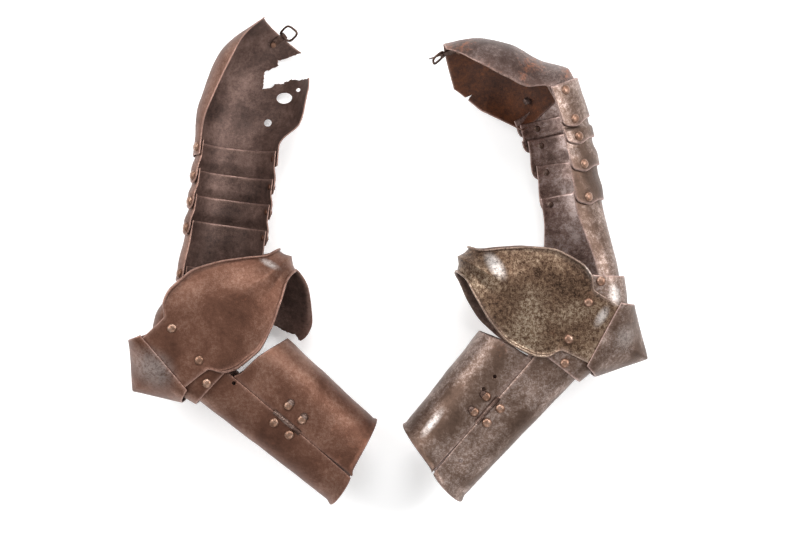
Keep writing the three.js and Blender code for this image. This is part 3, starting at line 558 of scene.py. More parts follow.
def plate(surface, columns, rows, seed, dents, bead=0):
    """A sheet under an outer surface, closed by a rounded edge; returns points, faces and marks.

    A bead above zero thickens both long rims outwards by a roll of that radius, and draws the
    rows closer together towards them."""
    across = np.linspace(0, 1, rows + 1)
    if bead:
        across = across - 0.75 * np.sin(2 * np.pi * across) / (2 * np.pi)
    u, v = np.meshgrid(np.linspace(0, 1, columns + 1), across, indexing="ij")
    outer = surface(u, v)
    normal = normals_of(surface, u, v)
    outer = outer + normal * ripples(outer, seed, RIPPLE_SIZE, dents)[..., None]
    inner = outer - normal * SHEET
    if bead:
        steps = np.linalg.norm(np.diff(outer, axis=1, prepend=outer[:, :1]), axis=-1)
        walk = np.cumsum(steps, axis=1)
        rim_away = np.minimum(walk, walk[:, -1:] - walk)
        held = smooth(outer[..., 0], 2, 14)[..., None]
        outer = outer + normal * rolled(rim_away, bead)[..., None] * held
    count = outer[..., 0].size
    number = np.arange(count).reshape(columns + 1, rows + 1)
    ring = np.concatenate([number[:-1, 0], number[-1, :-1], number[:0:-1, -1], number[0, :0:-1]])
    flat, under = outer.reshape(-1, 3), inner.reshape(-1, 3)
    away = np.zeros((columns + 1, rows + 1, 3))
    away[0] += outer[0] - outer[1]
    away[-1] += outer[-1] - outer[-2]
    away[:, 0] += outer[:, 0] - outer[:, 1]
    away[:, -1] += outer[:, -1] - outer[:, -2]
    away = away.reshape(-1, 3)[ring]
    away /= np.maximum(np.linalg.norm(away, axis=-1, keepdims=True), 1e-9)
    edge = (flat[ring] + under[ring]) / 2 + away * SHEET * EDGE_ROUND
    points = np.concatenate([flat, under, edge])
    k = np.arange(len(ring))
    after = np.roll(k, -1)
    mid = 2 * count
    faces = np.concatenate([
        grid_faces(columns, rows),
        grid_faces(columns, rows, count, flip=True),
        np.stack([ring[k], ring[after], mid + after, mid + k], -1)[:, ::-1],
        np.stack([mid + k, mid + after, count + ring[after], count + ring[k]], -1)[:, ::-1],
    ])
    length = np.linalg.norm(outer[-1, 0] - outer[0, 0])
    girth = np.linalg.norm(np.diff(outer[columns // 2], axis=0), axis=-1).sum()
    reach = np.minimum(np.minimum(u, 1 - u) * length, np.minimum(v, 1 - v) * girth).ravel()
    rim = np.concatenate([reach, reach, np.zeros(len(ring))])
    inside = np.concatenate([np.zeros(count), np.ones(count), np.full(len(ring), 0.5)])
    return points, faces.tolist(), {"rim": rim, "inside": inside}


def dome(top, direction, radius=HEAD_SHOWN, height=HEAD_HEIGHT, seed=1, rings=7, faces=24):
    """A worn rivet head: a low dome turned about a line, a little uneven, closed underneath."""
    direction = np.asarray(direction, float) / np.linalg.norm(direction)
    t = np.linspace(0, 1, rings)
    out = np.concatenate([[radius * 0.96], radius * np.cos(t * np.pi / 2) ** 0.7])
    up = np.concatenate([[-0.5], height * np.sin(t * np.pi / 2)])
    out[-1] = radius * 0.02
    angle = np.arange(faces) * 2 * np.pi / faces
    side = np.cross(direction, [0.3, 0.9, 0.1])
    side /= np.linalg.norm(side)
    other = np.cross(direction, side)
    wobble = 1 + 0.03 * np.sin(2 * angle + seed) + 0.02 * np.sin(5 * angle + seed * 2)
    circle = (np.cos(angle) * wobble)[:, None] * side + (np.sin(angle) * wobble)[:, None] * other
    body = top + circle[None] * out[:, None, None] + direction * up[:, None, None]
    count = len(out)
    tips = [top + direction * height, top - direction * 0.5]
    points = np.concatenate([body.reshape(-1, 3), tips])
    i, j = np.indices((count - 1, faces)).reshape(2, -1)
    a, b = i * faces + j, i * faces + (j + 1) % faces
    quads = np.stack([a, b, b + faces, a + faces], -1)
    last = (count - 1) * faces
    j = np.arange(faces)
    cap = np.stack([last + j, last + (j + 1) % faces, np.full(faces, count * faces)], -1)
    foot = np.stack([(j + 1) % faces, j, np.full(faces, count * faces + 1)], -1)
    return points, [*quads.tolist(), *cap.tolist(), *foot.tolist()], {}


def place_points(points, matrix):
    """Points after a 4 by 4 matrix."""
    return (np.c_[points, np.ones(len(points))] @ matrix.T)[:, :3]


def merge(parts):
    """Joins (points, faces, marks) parts into one; a mark that a part lacks is zero there."""
    points, faces, start = [], [], 0
    for part_points, part_faces, _ in parts:
        points.append(part_points)
        faces += [[index + start for index in face] for face in part_faces]
        start += len(part_points)
    marks = {
        label: np.concatenate([part[2].get(label, np.zeros(len(part[0]))) for part in parts])
        for label in sorted({label for part in parts for label in part[2]})
    }
    return np.concatenate(points), faces, marks


def add_mesh(name, points, faces, place):
    """A new object from points in millimetres, put in place in metres; a mirror turns its faces."""
    if np.linalg.det(place[:3, :3]) < 0:
        faces = [face[::-1] for face in faces]
    mesh = bpy.data.meshes.new(name)
    mesh.from_pydata((place_points(points, place) * MM).tolist(), [], faces)
    made = bpy.data.objects.new(name, mesh)
    bpy.context.scene.collection.objects.link(made)
    return made


def add_piece(arm, name, part, material, body, node=None, place=np.eye(4)):
    """One visible piece of an arm: its mesh and marks, its finish, its body and its CAD node."""
    side = arm["side"]
    points, faces, marks = part
    made = add_mesh(f"{side}_{name}", points, faces, place)
    mesh = made.data
    mesh.polygons.foreach_set("use_smooth", [True] * len(mesh.polygons))
    for label, values in marks.items():
        layer = mesh.attributes.new(label, "FLOAT", "POINT")
        layer.data.foreach_set("value", np.asarray(values, np.float32))
    mesh.update()
    mesh.materials.append(material)
    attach(made, f"{side}_{body}")
    if node:
        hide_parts(f"{side}_{node}")
    return made


# Materials

class Wire:
    """A socket of a node tree; operators on it add Math nodes, so shader maths reads as written."""

    def __init__(self, tree, socket):
        self.tree, self.socket = tree, socket

    def node(self, kind, settings=None, output=0, **values):
        made = self.tree.nodes.new(kind)
        for key, value in (settings or {}).items():
            if key == "stops":
                self.fill(made.color_ramp, value)
            else:
                setattr(made, key, value)
        for key, value in values.items():
            index = int(key[1:]) if key[0] == "i" and key[1:].isdigit() else key.replace("_", " ")
            target = made.inputs[index]
            if isinstance(value, Wire):
                self.tree.links.new(value.socket, target)
            elif hasattr(target, "default_value"):
                target.default_value = value
        return Wire(self.tree, made.outputs[output])

    @staticmethod
    def fill(ramp, stops):
        while len(ramp.elements) < len(stops):
            ramp.elements.new(0.5)
        for element, (place, colour) in zip(ramp.elements, stops):
            element.position = place
            element.color = (*colour, 1)

    def math(self, operation, other=0.0, swap=False, clamp=False):
        pair = (other, self) if swap else (self, other)
        return self.node("ShaderNodeMath", {"operation": operation, "use_clamp": clamp},
                         i0=pair[0], i1=pair[1])

    def __add__(self, other):
        return self.math("ADD", other)

    def __mul__(self, other):
        return self.math("MULTIPLY", other)

    def __sub__(self, other):
        return self.math("SUBTRACT", other)

    def __rsub__(self, other):
        return self.math("SUBTRACT", other, swap=True)

    __radd__ = __add__
    __rmul__ = __mul__

    def clamp(self):
        return self.math("ADD", 0.0, clamp=True)

    def band(self, low, high):
        """Share from 0 at low to 1 at high, eased."""
        return self.node("ShaderNodeMapRange", {"interpolation_type": "SMOOTHSTEP"},
                         i0=self, i1=low, i2=high)

    def ramp(self, *stops):
        return self.node("ShaderNodeValToRGB", {"stops": stops}, i0=self)

    def blend(self, low, high, kind="MIX"):
        """Colour between low and high by this share."""
        return self.node("ShaderNodeMix", {"data_type": "RGBA", "blend_type": kind}, 2,
                         i0=self, i6=colour(low), i7=colour(high))


def colour(value):
    return value if isinstance(value, Wire) else (*value, 1)


def mixed(share, low, high):
    """Number between low and high by this share."""
    return share.node("ShaderNodeMix", {"data_type": "FLOAT"}, i0=share, i2=low, i3=high)


def new_material(name):
    """A material, its tree and shader, and a wire with the place on the object."""
    material = bpy.data.materials.new(name)
    material.use_nodes = True
    tree = material.node_tree
    shader = tree.nodes["Principled BSDF"]
    start = Wire(tree, None)
    place = start.node("ShaderNodeTexCoord", output=3)
    return material, tree, shader, place


def noise(place, scale, detail, rough, warp=0.0):
    return place.node("ShaderNodeTexNoise", Vector=place, Scale=scale, Detail=detail,
                      Roughness=rough, Distortion=warp)


def cells(place, scale):
    return place.node("ShaderNodeTexVoronoi", {"feature": "F1"}, Vector=place, Scale=scale)


def painted_highlight_share(place):
    """Share of painted highlight: soft ellipses where the plates are painted lighter, standing in
    for the lamps' highlights.
    """
    total = place * 0
    for x, y, half_long, half_wide, turn, strength in PAINTED_HIGHLIGHT_SPOTS:
        spot = place.node("ShaderNodeMapping", {"vector_type": "TEXTURE"}, Vector=place,
                          Location=(x * MM, y * MM, 0), Rotation=(0, 0, math.radians(turn)),
                          Scale=(half_long * MM, half_wide * MM, 1))
        away = spot.node("ShaderNodeVectorMath", {"operation": "LENGTH"}, 1, i0=spot)
        total = total + (1 - away.band(0.0, 1.0)) * strength
    return total.clamp()


def old_iron(name, look):
    """Old plate: patina in slow clouds, fine pits, rust inside, worn edges with a painted
    highlight, and spots of painted highlight.
    """
    material, tree, shader, place = new_material(name)
    edge = place.node("ShaderNodeAttribute", {"attribute_name": "edge"}, output=2)
    inside = place.node("ShaderNodeAttribute", {"attribute_name": "inside"}, output=2)
    within = inside.band(0.35, 0.65)
    clouds = noise(place, look["clouds"], 5, 0.62, 0.5)
    grain = noise(place, 260, 8, 0.72)
    fine = noise(place, 900, 4, 0.6)
    pits = cells(place, look["pits"])
    rust = noise(place, look["rust_size"], 7, 0.68, 0.3)
    speckle = grain * 0.65 + fine * 0.35
    mottle = look["mottle"]
    tone = (clouds * (1 - mottle) + speckle * mottle).ramp(*look["outer"])
    worn = (speckle.band(0.46, 0.6) * look["wear"] * clouds.band(0.4, 0.62)).clamp()
    outer = worn.blend(tone, look["bare"])
    rusty = ((rust * 0.6 + grain * 0.4).band(*look["rust_band"]) * look["rust_amount"]).clamp()
    outer = rusty.blend(outer, look["rust"])
    inner_tone = (rust * 0.5 + speckle * 0.5).ramp(*look["inner"])
    base = within.blend(outer, inner_tone)
    # Worn edges with a painted highlight: lighter, less rough and more metallic along the rims.
    edge_wear_and_sheen = (edge * look["edge"] * speckle.band(0.3, 0.55)).clamp()
    base = edge_wear_and_sheen.blend(base, look["edge_colour"])
    dark_pit = (1 - pits.band(0.0, 0.16)) * grain.band(0.45, 0.6)
    base = (dark_pit * look["pit_dark"]).clamp().blend(base, look["pit"])
    # Painted highlight: spots painted lighter and less rough where the lamps' highlights would
    # fall.
    painted_highlight = (painted_highlight_share(place) * (0.35 + speckle.band(0.38, 0.56)) * (1 - within)).clamp()
    base = (painted_highlight * 0.62).blend(base, (0.8, 0.75, 0.72))
    tree.links.new(base.socket, shader.inputs["Base Color"])
    rough = mixed(within, look["rough"][0] + (1 - worn) * look["rough"][1] + rusty * 0.25,
                  look["rough_inside"] + grain * 0.2)
    rough = rough - edge_wear_and_sheen * 0.1 - painted_highlight * 0.08
    tree.links.new(rough.clamp().socket, shader.inputs["Roughness"])
    metal = mixed(within, look["metal"] - rusty * 0.5, look["metal_inside"]) + edge_wear_and_sheen * 0.3
    tree.links.new(metal.clamp().socket, shader.inputs["Metallic"])
    hollows = (1 - pits.band(0.0, 0.3)) * 0.35 * look["pit_depth"]
    height = grain * 0.5 + fine * 0.25 - hollows + clouds * 0.8
    bump = place.node("ShaderNodeBump", Strength=look["bump"], Distance=0.0008, Height=height)
    tree.links.new(bump.socket, shader.inputs["Normal"])
    return material


# Spots of painted highlight at rest: middle x and y, half length, half width (mm), turn (degrees),
# strength.
PAINTED_HIGHLIGHT_SPOTS = (
    (110, -6, 21, 10, -56, 1), (233, -35, 15, 9, -78, 1), (219, -58, 16, 7, 58, 0.8),
    (45, -168, 24, 6, 52, 0.8), (205, -2, 20, 6, -80, 0.8), (-123, -4, 15, 5, -28, 0.7),
    (-243, -112, 34, 26, -35, 0.38), (245, -80, 20, 16, 60, 0.3),
)

# Finishes: an outer and an inner colour ramp each, and the amounts of wear, rust, pits, relief and
# the painted highlight on worn edges.
COMMON_LOOK = dict(
    pits=420, mottle=0.45, rust_band=(0.55, 0.7), rust_amount=0.45, edge=0.8, rough_inside=0.5,
    metal=0.9, metal_inside=0.6, pit_depth=1.0, bump=0.45,
)
LOOKS = {
    "brown_iron": dict(
        clouds=16, rust_size=34, wear=0.18, mottle=0.36,
        outer=((0.3, (0.045, 0.018, 0.011)), (0.48, (0.125, 0.056, 0.036)),
               (0.62, (0.215, 0.112, 0.078)), (0.75, (0.32, 0.185, 0.135))),
        bare=(0.38, 0.26, 0.21), rust=(0.2, 0.065, 0.03), rust_band=(0.56, 0.68),
        inner=((0.35, (0.03, 0.018, 0.015)), (0.5, (0.115, 0.068, 0.055)),
               (0.62, (0.23, 0.145, 0.12))),
        edge=0.75, edge_colour=(0.48, 0.31, 0.26), pit=(0.02, 0.01, 0.007), pit_dark=0.65,
        rough=(0.36, 0.15), rough_inside=0.42, metal=0.85,
    ),
    "grey_iron": dict(
        clouds=20, rust_size=30, wear=0.45, mottle=0.38,
        outer=((0.28, (0.032, 0.019, 0.013)), (0.46, (0.11, 0.068, 0.05)),
               (0.6, (0.22, 0.15, 0.12)), (0.75, (0.38, 0.29, 0.25))),
        bare=(0.58, 0.48, 0.44), rust=(0.24, 0.08, 0.032), rust_band=(0.58, 0.7),
        inner=((0.36, (0.06, 0.034, 0.025)), (0.47, (0.26, 0.175, 0.15)),
               (0.57, (0.6, 0.48, 0.45))),
        edge_colour=(0.54, 0.38, 0.34), pit=(0.022, 0.012, 0.008), pit_dark=0.75,
        rough=(0.28, 0.2), rough_inside=0.34, metal_inside=0.75, pit_depth=1.2, bump=0.42,
    ),
    "olive_iron": dict(
        clouds=13, pits=640, rust_size=42, wear=0.7, mottle=0.72,
        outer=((0.4, (0.022, 0.012, 0.007)), (0.47, (0.1, 0.058, 0.037)),
               (0.54, (0.2, 0.13, 0.083)), (0.63, (0.42, 0.31, 0.215))),
        bare=(0.5, 0.41, 0.31), rust=(0.16, 0.06, 0.028), rust_amount=0.4,
        inner=((0.33, (0.03, 0.017, 0.012)), (0.48, (0.11, 0.068, 0.052)),
               (0.62, (0.25, 0.17, 0.14))),
        edge_colour=(0.5, 0.37, 0.31), pit=(0.02, 0.011, 0.007), pit_dark=0.85, rough=(0.2, 0.24),
        rough_inside=0.36, metal_inside=0.7, pit_depth=1.4, bump=0.65,
    ),
    "rusty_iron": dict(
        clouds=18, rust_size=22, wear=0.2, mottle=0.4,
        outer=((0.3, (0.022, 0.012, 0.009)), (0.46, (0.07, 0.042, 0.035)),
               (0.6, (0.125, 0.087, 0.077)), (0.75, (0.2, 0.155, 0.145))),
        bare=(0.5, 0.4, 0.37), rust=(0.36, 0.11, 0.035), rust_band=(0.5, 0.66), rust_amount=0.75,
        inner=((0.36, (0.022, 0.01, 0.007)), (0.48, (0.085, 0.034, 0.02)),
               (0.58, (0.19, 0.068, 0.03)), (0.7, (0.42, 0.14, 0.045))),
        edge_colour=(0.5, 0.34, 0.29), pit=(0.018, 0.008, 0.005), pit_dark=0.7, rough=(0.26, 0.2),
        metal=0.8, metal_inside=0.45, pit_depth=1.2, bump=0.6,
    ),
    "rivet_iron": dict(
        clouds=60, pits=500, rust_size=90, wear=0.5,
        outer=((0.3, (0.085, 0.04, 0.026)), (0.5, (0.24, 0.135, 0.092)),
               (0.7, (0.42, 0.27, 0.2))),
        bare=(0.5, 0.36, 0.29), rust=(0.2, 0.075, 0.035), rust_band=(0.6, 0.72), rust_amount=0.35,
        inner=((0.35, (0.03, 0.02, 0.018)), (0.6, (0.12, 0.085, 0.07))),
        edge=0.6, edge_colour=(0.5, 0.38, 0.33), pit=(0.03, 0.016, 0.012), pit_dark=0.5,
        rough=(0.3, 0.1), rough_inside=0.4, metal_inside=0.7, pit_depth=0.8, bump=0.3,
    ),
    "dark_iron": dict(
        clouds=40, pits=520, rust_size=70, wear=0.6,
        outer=((0.3, (0.03, 0.016, 0.012)), (0.5, (0.09, 0.052, 0.04)),
               (0.68, (0.2, 0.13, 0.105))),
        bare=(0.36, 0.27, 0.235), rust=(0.17, 0.06, 0.03), rust_amount=0.5,
        inner=((0.35, (0.02, 0.012, 0.01)), (0.6, (0.1, 0.065, 0.055))),
        edge=0.5, edge_colour=(0.38, 0.27, 0.23), pit=(0.015, 0.009, 0.007), pit_dark=0.6,
        rough=(0.32, 0.14), metal=0.85,
    ),
}
MADE = {}


def finish_of(key):
    """The material of this name, made when it is first asked for."""
    if key not in MADE:
        MADE[key] = old_iron(key, {**COMMON_LOOK, **LOOKS[key]})
    return MADE[key]


def plate_finish(arm, node):
    """The left arm is one brown; the right arm's wing is speckled and its shoulder plate rusty."""
    if arm["side"] == "left":
        return finish_of("brown_iron")
    return finish_of({"couter_wing": "olive_iron", "spaulder": "rusty_iron"}.get(node, "grey_iron"))


# Settings and pieces

class HarnessSizes(bpy.types.PropertyGroup):
    """How finely the plates are drawn and how uneven they are."""
    cell: FloatProperty(name="Cell", description="Size of one mesh cell of a plate",
                        default=1.6, min=0.6, max=6, subtype="DISTANCE")
    dents: FloatProperty(name="Dents", description="Depth of the hammered waves, in millimetres",
                         default=0.35, min=0, max=1.5)
    rim_bead: FloatProperty(name="Rim bead", description="Radius of the roll along the wings' rims",
                            default=1.5, min=0.4, max=3)
    rivet_faces: IntProperty(name="Rivet faces", description="Faces round a rivet head",
                             default=24, min=8, max=48)


class HarnessColours(bpy.types.PropertyGroup):
    """Colours of the stage."""
    floor: FloatVectorProperty(name="Floor", description="Colour of the table", subtype="COLOR",
                               default=(0.96, 0.96, 0.96), min=0, max=1)


def sizes():
    return bpy.context.scene.harness_sizes


def grid_for(surface, cell):
    """Columns and rows that make cells of about the wanted size, measured on the surface."""
    t = np.linspace(0, 1, 41)
    shares = [np.full(41, share) for share in (0.1, 0.5, 0.9)]

    def count(lines, least):
        steps = np.diff(np.stack(lines), axis=1)
        return max(least, int(np.linalg.norm(steps, axis=-1).sum(-1).max() / cell))

    return count([surface(t, v) for v in shares], 6), count([surface(u, t) for u in shares], 8)


def torn(outline, seed, step=1.6, depth=0.45, most_corners=20):
    """The outline in millimetres and short steps, each a little off its line; holes stay round."""
    corners = np.asarray(outline, float) * GUTTER_RADIUS
    after = np.roll(corners, -1, axis=0)
    draw = np.random.default_rng(seed)
    rows = []
    for start, end in zip(corners, after):
        count = max(1, int(np.linalg.norm(end - start) / step))
        rows.append(start + (end - start) * (np.arange(count) / count)[:, None])
    points = np.concatenate(rows)
    return points + draw.normal(size=points.shape) * depth * (len(outline) < most_corners)


def pierce(made, outlines, place, base, side, seed):
    """Cuts a prism for each outline out of the near (1) or far (-1) side of a plate."""
    for number, outline in enumerate(outlines):
        shape = torn(outline, seed + number) + (0, base)
        count = len(shape)
        levels = (0, PRISM_REACH) if side > 0 else (-PRISM_REACH, 0)
        points = np.concatenate([np.c_[shape, np.full(count, z)] for z in levels])
        k = np.arange(count)
        after = np.roll(k, -1)
        walls = np.stack([k, after, count + after, count + k], -1).tolist()
        faces = [list(range(count))[::-1], list(range(count, 2 * count)), *walls]
        cutter = add_mesh("cutter", points, faces, place)
        cut = made.modifiers.new("cut", "BOOLEAN")
        cut.operation, cut.solver, cut.object = "DIFFERENCE", "EXACT", cutter
        graph = bpy.context.evaluated_depsgraph_get()
        result = bpy.data.meshes.new_from_object(made.evaluated_get(graph), depsgraph=graph)
        made.modifiers.remove(cut)
        result.name = made.data.name
        made.data = result
        bpy.data.objects.remove(cutter)


def add_plate(arm, node, surface, body, seed, rivets=(), base=0, bead=0):
    """One plate with the rivet heads that are part of it, in place of its CAD node."""
    place = arm["frames"][body]
    columns, rows = grid_for(surface, sizes().cell)
    points, faces, marks = plate(surface, columns, rows, seed, sizes().dents, bead=bead)
    # The edge mark holds worn edges together with their painted highlight, weaker on the forearm.
    worn = FOREARM_EDGE_WEAR_AND_SHEEN if "lower_cannon" in node else PLATE_EDGE_WEAR_AND_SHEEN
    marks = {"edge": worn * np.exp(-marks["rim"] / EDGE_WEAR_AND_SHEEN_REACH), "inside": marks["inside"]}
    heads = [
        dome(top, direction, seed=seed + number, radius=HEAD_RADIUS * (0.75 if inner else 1),
             height=HEAD_HEIGHT * (0.5 if inner else 1.15))
        for number, (top, direction, inner) in enumerate(rivets)
    ]
    made = add_piece(arm, f"{node}_plate", merge([(points, faces, marks), *heads]),
                     plate_finish(arm, node), body, node, place)
    side = 1 if "cannon" in node else -1
    pierce(made, arm["breaks"].get(node, []), place, base, side, seed)


def skin_point(surface, x, y, sign):
    """The point of a surface above (1) or below (-1) x, y: the closest of a fine grid."""
    share = np.linspace(0, 1, SKIN_GRID)
    u, v = np.meshgrid(share, share, indexing="ij")
    points = surface(u, v).reshape(-1, 3)
    points = points[points[:, 2] * sign > 0]
    near = points[np.argmin((points[:, 0] - x) ** 2 + (points[:, 1] - y) ** 2)]
    return np.array([x, y, near[2]])


def add_rivet(arm, node, top, direction, body, seed):
    """A rivet of its own: its head outside and its hammered tail inside."""
    head = dome(top - direction * RIVET_SINK, direction, seed=seed, height=HEAD_HEIGHT * 1.2,
                faces=sizes().rivet_faces)
    tail = dome(top - direction * (NEST_STEP + SHEET + TAIL_SINK), -direction, seed=seed + 3,
                radius=HEAD_RADIUS * 0.7, height=HEAD_HEIGHT * 0.45, faces=16)
    add_piece(arm, f"{node}_head", merge([head, tail]), finish_of("rivet_iron"), body,
              node, arm["frames"][body])


def far_seat(surface, pivot):
    """The far rivet head under a pivot of the elbow, as a list for add_plate."""
    return [(skin_point(surface, *pivot[:2], -1) + [0, 0, FAR_SEAT], (0, 0, -1), False)]


def scalloped(surface, arm, far, length, lift=4.5, corner=6, top_cut=0.0):
    """Raises the lower edge of a lame between its rivets, so it ends in a lobe round each rivet.

    The lift is zero in a lobe exp(-(d / w)^2) about each rivet, and a quarter circle rounds the
    corner at either end. The cut lowers the far end of the upper edge."""
    near = arm["opening"][0]
    spots = [(angle - near) / (far - near) for angle in arm["rivets"]]
    arc = math.radians(far - near) * GUTTER_RADIUS

    def low(v):
        lobe = sum(np.exp(-((v - spot) * arc / LOBE_WIDTH) ** 2) for spot in spots)
        end = np.clip(1 - np.minimum(v, 1 - v) * arc / corner, 0, 1)
        return (lift * (1 - np.clip(lobe, 0, 1)) + corner * (1 - np.sqrt(1 - end ** 2))) / length

    return lambda u, v: surface(mix(low(v), 1 - top_cut * smooth(v, 0.5, 1), u), v)


def lame_rows(arm):
    """Every plate of the upper arm from the cannon up: its name, surface and base."""
    rows = [("upper_cannon", upper_cannon(arm), 0)]
    bases = arm["bases"]
    for name, pitch, _ in arm["lames"]:
        flush = arm["first_outside"] and name == arm["lames"][-1][0]
        far = far_edge(arm, bases[name] / bases["spaulder"])
        surface = scalloped(arm_lame(arm, pitch, flush, far), arm, far, pitch + OVERLAP,
                            top_cut=0.5 if flush else 0)
        rows.append((name, surface, bases[name]))
    return [*rows, ("spaulder", spaulder(arm), bases["spaulder"])]


def raised(surface, base):
    """A plate of the upper arm, moved up to its own base."""
    return lambda u, v: surface(u, v) + np.array([0, base, 0])


def far_rivet(arm, base):
    """Far rivet head of a plate that starts at base, and its tail seen inside the arm."""
    _, _, (_, far) = rivet_line(arm, base)
    origin = np.array([0, base, 0])
    return [(origin + far * (GUTTER_RADIUS - RIVET_SINK), far, False),
            (origin + far * (INNER_RADIUS - SHEET + TAIL_SINK), -far, True)]


class HARNESS_OT_couters(bpy.types.Operator):
    """The elbow wings and their points, with the far rivets of the wings"""
    bl_idname = "harness.couters"
    bl_label = "Elbow wings and points"

    def execute(self, context):
        for arm in ARMS:
            shape = wing(arm)
            rivets = [head for end in (1, -1) for head in far_seat(shape, inner_pivot(end))]
            add_plate(arm, "couter_wing", shape, "couter", 11, rivets, bead=sizes().rim_bead)
            add_plate(arm, "couter_point", cop(arm), "couter", 12)
        return {"FINISHED"}


class HARNESS_OT_elbow_lames(bpy.types.Operator):
    """The two lobed straps of each elbow"""
    bl_idname = "harness.elbow_lames"
    bl_label = "Elbow lames"

    def execute(self, context):
        for arm in ARMS:
            upper, lower = upper_strap(arm), elbow_lame(-1)
            far = far_seat(upper, outer_pivot(1)) if arm["mirror"] else []
            add_plate(arm, "upper_elbow_lame", upper, "upper_elbow_lame", 21, far)
            add_plate(arm, "lower_elbow_lame", lower, "lower_elbow_lame", 22,
                      far_seat(lower, outer_pivot(-1)))
        return {"FINISHED"}


class HARNESS_OT_upper_arms(bpy.types.Operator):
    """The upper cannons, the nested arm lames and the shoulder plates"""
    bl_idname = "harness.upper_arms"
    bl_label = "Upper cannons, lames and shoulder plates"

    def execute(self, context):
        for arm in ARMS:
            for number, (name, surface, base) in enumerate(lame_rows(arm)):
                far = [] if arm["mirror"] and number == 0 else far_rivet(arm, base)
                add_plate(arm, name, raised(surface, base), name, 31 + number, far, base)
        return {"FINISHED"}


class HARNESS_OT_lower_cannons(bpy.types.Operator):
    """Both halves of the lower cannons"""
    bl_idname = "harness.lower_cannons"
    bl_label = "Lower cannons"

    def execute(self, context):
        for arm in ARMS:
            add_plate(arm, "lower_cannon_back", forearm(arm, False), "lower_cannon", 41)
            add_plate(arm, "lower_cannon_front", forearm(arm, True), "lower_cannon_front", 42)
        return {"FINISHED"}


class HARNESS_OT_rivets(bpy.types.Operator):
    """Every rivet that is a piece of its own"""
    bl_idname = "harness.rivets"
    bl_label = "Rivets"

    def execute(self, context):
        for arm in ARMS:
            seats = [
                ("b", wing(arm), inner_pivot(1), "couter", 52),
                ("c", wing(arm), inner_pivot(-1), "couter", 50),
                ("d", elbow_lame(-1), outer_pivot(-1), "lower_elbow_lame", 54),
            ]
            if arm["mirror"]:
                seats.append(("a", elbow_lame(1), outer_pivot(1), "upper_elbow_lame", 55))
            for letter, surface, pivot, body, seed in seats:
                spot = skin_point(surface, *pivot[:2], 1)
                add_rivet(arm, f"elbow_rivet_{letter}", spot, np.array([0, 0, 1.0]), body, seed)
            if not arm["mirror"]:
                near = rivet_line(arm, 0)[2][0]
                add_rivet(arm, "elbow_rivet_a", near * GUTTER_RADIUS, near, "upper_cannon", 55)
            rows = lame_rows(arm)
            for number in range(1, len(rows)):
                name, _, base = rows[number]
                swapped = arm["first_outside"] and name == "spaulder"
                body = rows[number - 1][0] if swapped else name
                near = rivet_line(arm, base)[2][0]
                top = near * GUTTER_RADIUS + (0, base, 0)
                add_rivet(arm, f"arm_rivet_{number}", top, near, body, 60 + number)
        return {"FINISHED"}


def leaf_rivets(arm, front):
    """Tops and outward directions of the two rivets of a hinge leaf."""
    surface = forearm(arm, front)
    one = np.ones(1)

    def spot(y, w):
        w = w * one
        start, end = surface(0 * one, w)[0, 1], surface(one, w)[0, 1]
        return surface((start - y) / (start - end) * one, w)[0]

    middle = outer_pivot(-1)[1] - LEAF_PLACE
    strip = 0.02
    girth = surface(one / 2, one)[0] - surface(one / 2, (1 - strip) * one)[0]
    share = LEAF_WIDTH * strip / np.linalg.norm(girth)
    w = share * 0.6 if front else 1 - share * 0.6
    found = []
    for side in (-1, 1):
        y = middle - side * LEAF_RIVETS / 2
        along_arm = spot(y - 0.5, w) - spot(y + 0.5, w)
        around = spot(y, w + 0.004) - spot(y, w - 0.004)
        direction = np.cross(along_arm, around)
        direction /= np.linalg.norm(direction)
        found.append((spot(y, w), direction * np.sign(direction[2])))
    return found


def wire_loop(node, wire=LOOP_WIRE, turns=72, faces=14, square=3.4):
    """A bent wire loop in the place of the straight-sided one: a superellipse of this power.

    Its plane, middle and size come from the principal axes of the node's own corners."""
    made = bpy.data.objects[node].data
    corners = np.empty(len(made.vertices) * 3)
    made.vertices.foreach_get("co", corners)
    corners = corners.reshape(-1, 3) / MM
    middle = corners.mean(0)
    _, _, axes = np.linalg.svd(corners - middle, full_matrices=False)
    spread = (corners - middle) @ axes.T
    low, high = spread.min(0), spread.max(0)
    middle = middle + ((low + high) / 2) @ axes
    long_half, short_half = (high - low)[:2] / 2 - wire
    t = np.arange(turns) * 2 * np.pi / turns
    path = np.stack([signed_power(np.cos(t), 2 / square) * long_half,
                     signed_power(np.sin(t), 2 / square) * short_half], -1)
    ahead = np.roll(path, -1, axis=0) - np.roll(path, 1, axis=0)
    ahead /= np.linalg.norm(ahead, axis=-1, keepdims=True)
    outward = np.stack([ahead[:, 1], -ahead[:, 0]], -1)
    turn = np.arange(faces + 1) * 2 * np.pi / faces
    flat = path[:, None] + outward[:, None] * np.cos(turn)[:, None] * wire
    up = np.broadcast_to(np.sin(turn)[:, None] * wire, (*flat.shape[:2], 1))
    local = np.concatenate([flat, up], -1)
    points = (local @ axes[:3] + middle)[:, :-1].reshape(-1, 3)
    i, j = np.indices((turns, faces)).reshape(2, -1)
    here, after, beside = i * faces, (i + 1) % turns * faces, (j + 1) % faces
    rows = np.stack([here + j, after + j, after + beside, here + beside], -1)
    return points, (rows if np.linalg.det(axes) < 0 else rows[:, ::-1]).tolist(), {}


